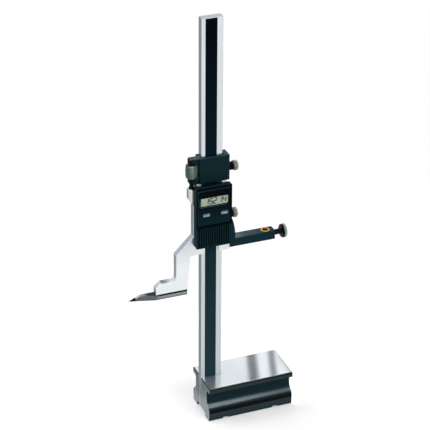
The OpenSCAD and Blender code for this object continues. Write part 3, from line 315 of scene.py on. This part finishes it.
# The inside of the head: green boards, grey rubber and the plated steel of the cell.
board_laminate = finish(
    "glass-epoxy board", "#1f5138", "#173f2b", {"Roughness": 0.4},
    grain=(1.2, 1.2, 1.2), mottle=0.7, rough=(0.34, 0.48))
rubber = finish(
    "silicone rubber, moulded", "#3a3d40", "#2d3033", {"Roughness": 0.7},
    grain=(1, 1, 1), mottle=0.6, rough=(0.65, 0.8))
cell_steel = finish(
    "nickel-plated cell", "#cfd0cf", "#b4b6b5", metal(0.25),
    grain=(2, 2, 2), mottle=0.5, rough=(0.2, 0.32))


# ---------------------------------------------------------------- shapes

weld = 0.002            # points nearer than this are one point
flat_within = 0.8       # degrees: faces that meet at less are one face
crease = 28             # degrees: edges that turn by more are broken
round_steps = 48        # sides of a shank, a neck or a collar
disc_steps = 64
ridge_steps = 8         # sides of one ridge of a knurl
knurled = True
squarely = 0.9          # a face looks squarely along an axis from here on
upright = Matrix.Identity(4)
along_x = Matrix.Rotation(math.pi / 2, 4, "Y")


def show(piece, shape, finishes, body, smooth=35):
    """A new object from a bmesh, with its finishes, on its body. Edges that turn by more than
    smooth, in degrees, look sharp."""
    mesh = bpy.data.meshes.new(piece)
    shape.to_mesh(mesh)
    shape.free()
    for face in mesh.polygons:
        face.use_smooth = True
    mesh.set_sharp_from_angle(angle=math.radians(smooth))
    for material in finishes:
        mesh.materials.append(material)
    shown = bpy.data.objects.new(piece, mesh)
    bpy.context.scene.collection.objects.link(shown)
    # Flat faces keep their own direction, so that what they mirror stays straight.
    weigh = shown.modifiers.new("weighted normals", "WEIGHTED_NORMAL")
    weigh.mode = "FACE_AREA"
    weigh.weight = 100
    weigh.keep_sharp = True
    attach(shown, body)
    return shown


def dress(piece, node, finishes, body, bevel=0.3, rounds=2, shortest=0.0, choose=None):
    """The CAD node with its sharp edges broken, and a finish for each kind of face. It stands
    for the node. Edges below the shortest length stay sharp, and choose gives the number of a
    face's finish."""
    shape = bmesh.new()
    shape.from_mesh(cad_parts[node].data)
    bmesh.ops.remove_doubles(shape, verts=shape.verts, dist=weld * mm)
    bmesh.ops.dissolve_limit(shape, angle_limit=math.radians(flat_within), verts=shape.verts,
                             edges=shape.edges, use_dissolve_boundaries=False, delimit=set())
    edges = [edge for edge in shape.edges
             if len(edge.link_faces) == 2 and edge.calc_face_angle() > math.radians(crease)
             and edge.calc_length() >= shortest * mm]
    bmesh.ops.bevel(shape, geom=edges, offset=bevel * mm, offset_type="OFFSET",
                    segments=rounds, profile=0.5, affect="EDGES", clamp_overlap=False)
    shape.normal_update()
    if choose:
        for face in shape.faces:
            face.material_index = choose(face.calc_center_median() / mm, face.normal)
    shown = show(piece, shape, finishes, body)
    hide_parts(node)
    return shown


def top_second(level):
    """Chooses the second finish for the faces that look up by more than the level."""
    return lambda point, normal: 1 if normal.z > level else 0


def faces_of(source, index, wanted):
    """A copy of a piece's faces that have a finish, or of those that haven't."""
    copy = bmesh.new()
    copy.from_mesh(source.data)
    others = [face for face in copy.faces if (face.material_index == index) != wanted]
    bmesh.ops.delete(copy, geom=others, context="FACES")
    return copy


def part_off(source, piece, index, material, body):
    """Moves the faces with one finish from a piece to a piece of their own."""
    apart = faces_of(source, index, True)
    for face in apart.faces:
        face.material_index = 0
    rest = faces_of(source, index, False)
    rest.to_mesh(source.data)
    rest.free()
    return show(piece, apart, [material], body)


def straight_knurl(ridges, depth):
    """Relief of a straight knurl: rounded crests and grooves round the rim."""
    return lambda angle: depth * (0.5 - 0.5 * math.cos(ridges * angle))


def turned(profile, steps, start, axis, relief=None):
    """A body turned from (height, radius) points round an axis, from its start. At the points
    that are also marked knurled, the surface lies the relief's depth below the radius."""
    shape = bmesh.new()
    rings = []
    for height, radius, *cut in profile:
        ring = []
        for k in range(steps):
            angle = 2 * math.pi * k / steps
            reach = (radius - (relief(angle) if cut else 0)) * mm
            ring.append(shape.verts.new((reach * math.cos(angle), reach * math.sin(angle), height * mm)))
        rings.append(ring)
    for low, high in zip(rings, rings[1:]):
        for k in range(steps):
            j = (k + 1) % steps
            shape.faces.new((low[k], low[j], high[j], high[k]))
    shape.faces.new(rings[0][::-1])
    shape.faces.new(rings[-1])
    shape.transform(Matrix.Translation(Vector(start) * mm) @ axis)
    return shape


def corners(node):
    """A CAD node's lowest and highest corner, and the point midway."""
    low, high = (Vector(corner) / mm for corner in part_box(node))
    return low, high, (low + high) / 2


# ---------------------------------------------------------------- base and column

base_low, base_high = corners("base_block")[:2]
skin = 0.05             # a face this near to the block's outside is on it
sole_top = 3            # faces below this that look down are the sole
foot_top = 8.6          # the foot of the long sides
foot_y = 22
band_h = 6.3            # the band along the top edge of the long sides
band_y = 24


def base_face(point, normal):
    """0 the enamelled sides, 1 the lapped top, 2 the milled ends and sole, 3 the matt bands."""
    if normal.z > squarely and point.z > base_high.z - skin:
        return 1
    if abs(normal.x) > squarely and (point.x < base_low.x + skin or point.x > base_high.x - skin):
        return 2
    if normal.z < -squarely and point.z < sole_top:
        return 2
    if point.z < foot_top and abs(point.y) > foot_y:
        return 3
    if point.z > base_high.z - band_h and abs(point.y) > band_y:
        return 3
    return 0


base_piece = dress("base_casting", "base_block", [base_enamel, lapped_iron, milled_iron, matt_enamel],
                   "stand", bevel=0.25, shortest=1.2, choose=base_face)
# The lapped top is a piece of its own, so that the light for the enamel leaves it alone.
part_off(base_piece, "lapped_top", 1, lapped_iron, "stand")
dress("column_bar", "column", [column_steel, column_end_steel], "stand",
      shortest=1.2, choose=top_second(0.5))

# ---------------------------------------------------------------- carriage

for piece, node in (("carriage_block", "carriage_body"), ("carriage_rear", "carriage_back")):
    dress(piece, node, [carriage_enamel, carriage_lit_top_enamel], "carriage",
          shortest=1.0, choose=top_second(0.7))

# The wheel is a barrel with bevelled ends and flutes along its side.
wheel_low, wheel_high, wheel_mid = corners("fine_wheel")
wheel_h = wheel_high.z - wheel_low.z
wheel_r = (wheel_high.x - wheel_low.x) / 2
wheel_crown = 0.45      # how much larger its radius is in the middle
wheel_end_r = wheel_r - wheel_crown
wheel_bevel = 0.8
barrel_steps = 8
flutes = 28
flute_depth = 0.55

barrel = [(0, wheel_end_r - 2 * wheel_bevel), (0, wheel_end_r - wheel_bevel)]
for k in range(barrel_steps + 1):
    t = k / barrel_steps
    barrel.append((wheel_bevel + t * (wheel_h - 2 * wheel_bevel),
                   wheel_r - wheel_crown * (2 * t - 1) ** 2, knurled))
barrel += [(wheel_h, wheel_end_r - wheel_bevel), (wheel_h, wheel_end_r - 2 * wheel_bevel)]
wheel = turned(barrel, flutes * ridge_steps, (wheel_mid.x, wheel_mid.y, wheel_low.z), upright,
               straight_knurl(flutes, flute_depth))
wheel_piece = show("fluted_wheel", wheel, [satin_chrome], "adjusting_wheel", smooth=50)
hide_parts("fine_wheel")

# ---------------------------------------------------------------- clamping screws

tip_r = 1.6
tip_l = 0.4
shank_r = 2.0
knurl_depth = 0.4
collar_r = 4.5
collar_end_r = 3.9      # the collar is necked before the head
head_l = 5.6
head_r = 5.4
head_bevel = 0.8
head_rim = 2.0          # the rim at the outer end of the head, painted bright as a highlight
head_ridges = 30
knob_l = 5.0
knob_r = 7.5
knob_ridges = 40
knob_bevel_l = 0.9
knob_rim_l = 2.6
neck_l = 8.4
neck_r = 3.0


def thumb_screw(name, node, body, collar_start):
    """A thumb screw along X: a shank, a collar painted dark as shade, and a knurled head whose rim has a
    painted highlight.
    """
    low, high, mid = corners(node)
    head_x = high.x - head_l
    collar_x = low.x + collar_start
    collar_l = head_x - collar_x
    shank = turned([(0, tip_r), (tip_l, shank_r), (head_x - low.x + 1, shank_r)],
                   round_steps, (low.x, mid.y, mid.z), along_x)
    collar = turned([(0, collar_end_r), (0.4, collar_r - 0.1), (collar_l - 0.8, collar_r),
                     (collar_l - 0.5, collar_end_r), (collar_l, collar_end_r)],
                    round_steps, (collar_x, mid.y, mid.z), along_x)
    head = turned([(0, 3.8), (0, head_r - head_bevel), (0.7, head_r, knurled),
                   (head_l - head_rim, head_r, knurled), (head_l - 0.9, head_r, knurled),
                   (head_l - 0.2, head_r - head_bevel), (head_l - 0.2, 3.4),
                   (head_l - 0.5, 3.1), (head_l - 0.5, 1.0)],
                  head_ridges * ridge_steps, (head_x, mid.y, mid.z), along_x,
                  straight_knurl(head_ridges, knurl_depth))
    show(name + "_shank", shank, [nickel], body)
    show(name + "_collar", collar, [shade_black_steel], body)
    shown = show(name + "_head", head, [nickel, rim_highlight_nickel], body, smooth=50)
    for face in shown.data.polygons:
        face.material_index = 1 if face.center.x > (high.x - head_rim) * mm else 0
    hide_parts(node)


thumb_screw("slider_screw", "slider_thumb_screw", "slider_clamp", 6.0)
thumb_screw("carriage_screw", "carriage_thumb_screw", "carriage_clamp", 5.0)

# The bar's screw has a long dark neck, and a wide knob: a disc painted dark as shade, with a knurled rim.
screw_low, screw_high, screw_mid = corners("bar_thumb_screw")
knob_x = screw_high.x - knob_l
neck_from = knob_x - neck_l - screw_low.x
neck_to = knob_x - screw_low.x
screw_start = (screw_low.x, screw_mid.y, screw_mid.z)
knob_start = (knob_x, screw_mid.y, screw_mid.z)
bar_neck = turned([(0, tip_r), (tip_l, shank_r), (neck_from, shank_r), (neck_from, neck_r - 0.3),
                   (neck_from + 0.3, neck_r), (neck_to - 0.8, neck_r), (neck_to + 0.2, 3.6)],
                  round_steps, screw_start, along_x)
bar_disc = turned([(0, neck_r), (0, knob_r - 1.0), (0.8, knob_r - 0.2), (2.2, knob_r - 0.2)],
                  disc_steps, knob_start, along_x)
bar_rim = turned([(2.0, knob_r - 1.2), (2.0, knob_r - 0.3), (2.3, knob_r, knurled),
                  (4.4, knob_r, knurled), (knob_l, knob_r - 0.8), (knob_l, 4.6),
                  (knob_l - 0.5, 4.2), (knob_l - 0.5, 1.0)],
                 knob_ridges * ridge_steps, knob_start, along_x,
                 straight_knurl(knob_ridges, knurl_depth))
show("bar_screw_neck", bar_neck, [black_oxide], "bar_clamp")
show("bar_screw_disc", bar_disc, [shade_black_steel], "bar_clamp")
knob = show("bar_screw_rim", bar_rim, [knob_nickel, nickel, shade_black_steel], "bar_clamp",
            smooth=50)
# Its outer bevel is painted dark, and its inner side darker than the rim: painted shade.
for face in knob.data.polygons:
    if face.center.x > (screw_high.x - knob_bevel_l) * mm and abs(face.normal.x) < squarely:
        face.material_index = 2
    elif face.center.x < (screw_high.x - knob_rim_l) * mm:
        face.material_index = 1
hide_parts("bar_thumb_screw")

# ---------------------------------------------------------------- slider

frame_top = corners("slider_frame")[1].z
frame_edge = 0.1        # its top reaches this far down its broken edges
cover_front = corners("battery_cover")[0].y
rib_h = 0.45            # the battery cover's ribs


def frame_face(point, normal):
    """0 the ground sides, 1 the top, painted with shade, 2 the top of the foot."""
    if normal.z < squarely:
        return 0
    return 1 if point.z > frame_top - frame_edge else 2


def cover_face(point, normal):
    """0 the ribs, 1 the faces between them, painted as shade."""
    return 1 if point.y > cover_front + rib_h else 0


dress("arm_frame", "slider_frame", [frame_steel, top_shade_steel, foot_steel], "slider",
      bevel=0.35, shortest=0.5, choose=frame_face)
dress("scriber_blade", "scriber", [scriber_steel, scriber_top_steel], "slider",
      bevel=0.15, shortest=0.9, choose=top_second(0.5))
dress("carbide_point", "scriber_tip", [carbide], "slider", bevel=0.08)
dress("head_shell", "head_casing", [head_abs], "slider",
      bevel=0.6, rounds=3, shortest=1.0)
dress("ribbed_cover", "battery_cover", [cover_abs, rib_gap_shade], "slider",
      bevel=0.15, choose=cover_face)
dress("face_panel", "face_plate", [plate_film], "slider", bevel=0.25)
dress("window_pane", "display_window", [clear_acrylic], "slider", bevel=0.12)
dress("bar_block", "accessory_bar", [bar_enamel, bar_top_highlight_enamel], "slider",
      shortest=1.0, choose=top_second(0.5))
dress("bush_ring", "clamp_bush", [brass], "slider", bevel=0.12)
dress("power_key_cap", "power_button", [key_grey], "power_key", bevel=0.35, rounds=3)
dress("zero_key_cap", "zero_button", [key_grey], "zero_key", bevel=0.35, rounds=3)

# The reading: digits of seven bars each, leaning as on a liquid crystal display.
window_low, window_high, window_mid = corners("display_window")
glass_front = corners("display_glass")[0].y
digit_h = 6.2
digit_w = 3.3
digit_gap = 1.3
point_room = 0.9
point_size = 0.7
stroke = 1.3
corner_lap = 0.25       # how far the pointed ends of two bars reach into each other
ink_t = 0.05
ink_gap = 0.01
reading_right = window_high.x - 2.6
lean = math.tan(math.radians(6))
# Each bar of a digit: left, foot, right and top, as shares of its width and height.
bars = {"a": (0, 1, 1, 1), "b": (1, 0.5, 1, 1), "c": (1, 0, 1, 0.5), "d": (0, 0, 1, 0),
        "e": (0, 0, 0, 0.5), "f": (0, 0.5, 0, 1), "g": (0, 0.5, 1, 0.5)}
lit = {"1": "bc", "2": "abged", "4": "fgbc", "5": "afgcd"}


def bar_outline(start, end):
    """Six corners of one bar with pointed ends, in the plane of the digit."""
    along = (end - start).normalized()
    across = Vector((-along.y, along.x)) * stroke / 2
    a = start - along * corner_lap
    b = end + along * corner_lap
    slant = along * stroke / 2
    return [a, a + slant + across, b - slant + across, b, b - slant - across, a + slant - across]


def digit_outlines(mark, left):
    """The outlines of a digit, or of the decimal point, that starts at the left."""
    if mark == ".":
        return [[Vector((left + x, z)) for x, z in
                 ((0, 0), (point_size, 0), (point_size, point_size), (0, point_size))]]
    return [bar_outline(Vector((left + start * digit_w, foot * digit_h)),
                        Vector((left + end * digit_w, top * digit_h)))
            for start, foot, end, top in (bars[bar] for bar in lit[mark])]


def reading(marks):
    """Dark bars of ink on the display's glass, right-aligned."""
    shape = bmesh.new()
    front = glass_front + ink_gap
    low = window_mid.z - digit_h / 2
    left = reading_right + digit_gap
    for mark in reversed(marks):
        left -= point_room if mark == "." else digit_w + digit_gap
        for outline in digit_outlines(mark, left):
            face = shape.faces.new([
                shape.verts.new(((point.x + lean * point.y) * mm, front * mm, (low + point.y) * mm))
                for point in outline])
            face.normal_update()
            if face.normal.y > 0:
                face.normal_flip()
    raised = bmesh.ops.extrude_face_region(shape, geom=shape.faces[:])["geom"]
    bmesh.ops.translate(shape, verts=[part for part in raised if isinstance(part, bmesh.types.BMVert)],
                        vec=(0, -ink_t * mm, 0))
    bmesh.ops.recalc_face_normals(shape, faces=shape.faces)
    return shape


show("reading_digits", reading("152.14"), [display_ink], "slider")

# A pale strip below the window and on its left is a painted highlight on the edge of its opening.
plate_front = corners("face_plate")[0].y
glint_gap = 0.9
glint_w = 0.4
glint_t = 0.06
glint_stop = 1.0          # how far it ends before the window's far corners
glint_x = window_low.x - glint_gap
glint_z = window_low.z - glint_gap
glint_strip = bmesh.new()
for low_x, high_x, low_z, high_z in ((glint_x, window_high.x - glint_stop, glint_z - glint_w, glint_z),
                                     (glint_x - glint_w, glint_x, glint_z, window_high.z - glint_stop)):
    made = bmesh.ops.create_cube(glint_strip, size=1.0)["verts"]
    bmesh.ops.scale(glint_strip, verts=made, vec=((high_x - low_x) * mm, glint_t * mm, (high_z - low_z) * mm))
    bmesh.ops.translate(glint_strip, verts=made, vec=((low_x + high_x) / 2 * mm, plate_front * mm,
                                              (low_z + high_z) / 2 * mm))
show("window_glint", glint_strip, [glint_film], "slider")

# ---------------------------------------------------------------- finishes of the CAD pieces

plain = {
    "scale_strip": black_oxide, "scale_film": scale_film, "column_screws": black_oxide,
    "column_dowels": nickel, "carriage_screws": black_oxide, "carriage_leaf": bronze,
    "carriage_pad": brass, "guide_strip": bronze, "guide_screws": black_oxide,
    "fine_rod": black_oxide, "lock_nut": black_oxide, "scriber_screws": black_oxide,
    "head_screws": black_oxide, "display_glass": display_grey, "contact_strip": rubber,
    "circuit_board": board_laminate, "key_sheet": rubber, "sensor_board": board_laminate,
    "battery": cell_steel, "battery_spring": bronze, "bar_pin": black_oxide,
    "slider_pad": brass,
}
for node, material in plain.items():
    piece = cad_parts[node]
    if not piece.material_slots:
        piece.data.materials.append(material)
    for place in piece.material_slots:
        place.material = material

# ---------------------------------------------------------------- camera

# The photograph's viewing angle and long lens, fitted to the edges that it shows.
azimuth = math.radians(-21.62)
elevation = math.radians(28.02)
roll = math.radians(0.31)
eye = (-0.56526, -1.44106, 1.06433)    # in metres
camera_data = bpy.data.cameras.new("camera")
camera_data.lens = 142.22
camera_data.sensor_width = 36
camera = bpy.data.objects.new("camera", camera_data)
bpy.context.scene.collection.objects.link(camera)
right = Vector((math.cos(azimuth), math.sin(azimuth), 0))
back = Vector((math.sin(azimuth) * math.cos(elevation), -math.cos(azimuth) * math.cos(elevation),
               math.sin(elevation)))
up = back.cross(right)
tilted_right = right * math.cos(roll) + up * math.sin(roll)
tilted_up = up * math.cos(roll) - right * math.sin(roll)
camera.matrix_world = Matrix.Translation(eye) @ Matrix(
    (tilted_right, tilted_up, back)).transposed().to_4x4()
bpy.context.scene.camera = camera

# ---------------------------------------------------------------- floor, cards and lamps, in metres

paper_glow = 0.25       # the floor's own light, which lifts it to the backdrop's white
paper_near = 0.45       # from here the floor turns to plain white, up to paper_far
paper_far = 1.2
floor_drop = 0.0004     # clear of the sole, so that the two don't flicker
floor_reach = 6
world_light = 0.55
lamp_aim = (0.03, 0, 0.15)


def looked_at(tree):
    """1 where the camera, metal or glass looks, and 0 for the light that falls on the object."""
    rays = add(tree, "LightPath").outputs
    mirror = add(tree, "Math", {"operation": "MAXIMUM"},
                 {0: rays["Is Glossy Ray"], 1: rays["Is Transmission Ray"]})
    return add(tree, "Math", {"operation": "MAXIMUM"},
               {0: rays["Is Camera Ray"], 1: mirror.outputs[0]}).outputs[0]


def lit_paper(name, colour):
    """Pale paper that takes the object's shadow, and glows a little where it is looked at. Far
    from the object it turns to plain white."""
    material, tree = blank(name)
    looks = looked_at(tree)
    strength = add(tree, "Math", {"operation": "MULTIPLY", 1: paper_glow}, {0: looks})
    glow = add(tree, "Emission", {"Color": white}, {"Strength": strength.outputs[0]})
    paper = add(tree, "BsdfDiffuse", {"Color": linear(colour)})
    both = add(tree, "AddShader", {}, {0: paper.outputs[0], 1: glow.outputs[0]})
    plain_white = add(tree, "Emission", {"Color": white}, {"Strength": looks})
    place = add(tree, "TexCoord")
    reach = add(tree, "VectorMath", {"operation": "LENGTH"}, {0: place.outputs["Object"]})
    share = add(tree, "MapRange", {"From Min": paper_near, "From Max": paper_far},
                {"Value": reach.outputs["Value"]})
    whole = add(tree, "MixShader", {}, {0: share.outputs["Result"], 1: both.outputs[0],
                                        2: plain_white.outputs[0]})
    add(tree, "OutputMaterial", {}, {"Surface": whole.outputs[0]})
    return material


def even_glow(name, colour, strength=1.0, one_side=False):
    """An even glow for a card. One that glows on one side is clear from the other."""
    material, tree = blank(name)
    glow = add(tree, "Emission", {"Color": linear(colour), "Strength": strength})
    if one_side:
        sides = add(tree, "NewGeometry")
        clear = add(tree, "BsdfTransparent")
        glow = add(tree, "MixShader", {}, {0: sides.outputs["Backfacing"], 1: glow.outputs[0],
                                           2: clear.outputs[0]})
    add(tree, "OutputMaterial", {}, {"Surface": glow.outputs[0]})
    return material


def graded_glow(name, strength, near, near_y, far, far_y):
    """A glow that turns from the near colour to the far one along the card's own Y."""
    material, tree = blank(name)
    place = add(tree, "TexCoord")
    axes = add(tree, "SeparateXYZ", {}, {0: place.outputs["Object"]})
    share = add(tree, "MapRange", {"From Min": near_y, "From Max": far_y}, {"Value": axes.outputs["Y"]})
    tint = add(tree, "Mix", {"data_type": "RGBA", mix_first: linear(near), mix_second: linear(far)},
               {mix_share: share.outputs["Result"]})
    glow = add(tree, "Emission", {"Strength": strength}, {"Color": tint.outputs[mix_result]})
    add(tree, "OutputMaterial", {}, {"Surface": glow.outputs[0]})
    return material


def card(name, points, material, glossy_only=True):
    """A flat studio card with its corners at four points. Most cards show in shiny surfaces only."""
    mesh = bpy.data.meshes.new(name)
    mesh.from_pydata(points, [], [(0, 1, 2, 3)])
    mesh.materials.append(material)
    made = bpy.data.objects.new(name, mesh)
    bpy.context.scene.collection.objects.link(made)
    if glossy_only:
        made.visible_camera = False
        made.visible_diffuse = False
        made.visible_transmission = False
        made.visible_volume_scatter = False
        made.visible_shadow = False
    return made


def rectangle(low_x, low_y, high_x, high_y):
    """The corners of a level rectangle."""
    return [(low_x, low_y, 0), (high_x, low_y, 0), (high_x, high_y, 0), (low_x, high_y, 0)]


def put(thing, place, z_way):
    """Puts a thing at its place, with its own Z along a direction."""
    thing.location = place
    thing.rotation_mode = "QUATERNION"
    thing.rotation_quaternion = z_way.to_track_quat("Z", "Y")


def hung_card(name, centre, size, target, material):
    """A glossy-only card that hangs at a centre and faces a target."""
    half_w, half_h = size[0] / 2, size[1] / 2
    made = card(name, rectangle(-half_w, -half_h, half_w, half_h), material)
    put(made, centre, Vector(target) - Vector(centre))
    return made


floor = card("floor", rectangle(-floor_reach, -floor_reach, floor_reach, floor_reach),
             lit_paper("studio paper", "#f2f2f2"), glossy_only=False)
floor.location.z = -floor_drop

# Cards on the floor, which the ground steel shows: greyer behind the column, on both sides.
card("left_card", rectangle(-2.2, 0.02, -0.02, 3.0), even_glow("left floor card", "#8f999c"))
card("right_card", rectangle(0.12, 0.02, 2.2, 2.0), even_glow("right floor card", "#9aa0a5"))
card("front_card", rectangle(-1.0, -3.0, 2.2, -0.03),
     graded_glow("front floor card", 1.08, "#ffffff", -0.8, "#e2e5e6", -0.15))

# Dark level strips over the base, which the lapped top shows as bands: start and end, in
# millimetres and in plan, and width.
dark_card = even_glow("dark card", "#3d4653")
strip_z = 74.5
for name, start, end, width in (("band_card_wide", (86.7, 92), (58.0, 8), 11.5),
                                ("band_card_narrow", (111.3, 92), (81.6, 8), 7.5),
                                ("band_card_edge", (110.5, 62), (107.5, 10), 4.5)):
    a, b = (Vector((*end_point, strip_z)) * mm for end_point in (start, end))
    along = (b - a).normalized()
    side = Vector((-along.y, along.x, 0)) * width * mm / 2
    card(name, [a - side, b - side, b + side, a + side], dark_card)

# Cards over the object: light on its tops, light on the base's enamel alone, and the dark
# and lilac tones that the foot and the sloping faces show.
hung_card("high_card", (0.24, -0.06, 0.9), (1.2, 0.1), (0.04, -0.02, 0.2),
          even_glow("high card", "#ffffff", 6.0))
belly_card = hung_card("belly_card", (0.23, -0.078, 0.6), (1.1, 0.17), (0.04, -0.02, 0.02),
                       even_glow("white card", "#ffffff", 110.0, one_side=True))
base_only = bpy.data.collections.new("base_only")
base_only.objects.link(base_piece)
belly_card.light_linking.receiver_collection = base_only
hung_card("foot_card", (-0.027, 0.088, 0.227), (0.018, 0.06), (-0.055, 0.003, 0.167), dark_card)
hung_card("slope_card", (-0.52, 0.82, 0.53), (0.5, 0.5), (-0.04, 0.0, 0.2),
          even_glow("lilac card", "#a5aabb"))

world = bpy.data.worlds.new("studio")
bpy.context.scene.world = world
world.use_nodes = True
sky = world.node_tree
sky.nodes.clear()
sky_level = add(sky, "MapRange", {"To Min": world_light, "To Max": 1.0}, {"Value": looked_at(sky)})
backdrop = add(sky, "Background", {"Color": white}, {"Strength": sky_level.outputs[0]})
add(sky, "OutputWorld", {}, {"Surface": backdrop.outputs[0]})


def soft_box(name, place, size, power):
    """A lamp with a broad front that shines, along its own -Z, on the object's middle."""
    data = bpy.data.lights.new(name, "AREA")
    data.shape = "RECTANGLE"
    data.size, data.size_y = size
    data.energy = power
    made = bpy.data.objects.new(name, data)
    bpy.context.scene.collection.objects.link(made)
    put(made, place, Vector(place) - Vector(lamp_aim))
    return made


soft_box("key_box", (-1.2, 0.6, 1.9), (1.2, 1.2), 18)
front_box = soft_box("front_box", (0.9, -1.5, 1.6), (1.6, 0.6), 14)
front_box.visible_glossy = False

bpy.context.scene.view_settings.view_transform = "Standard"
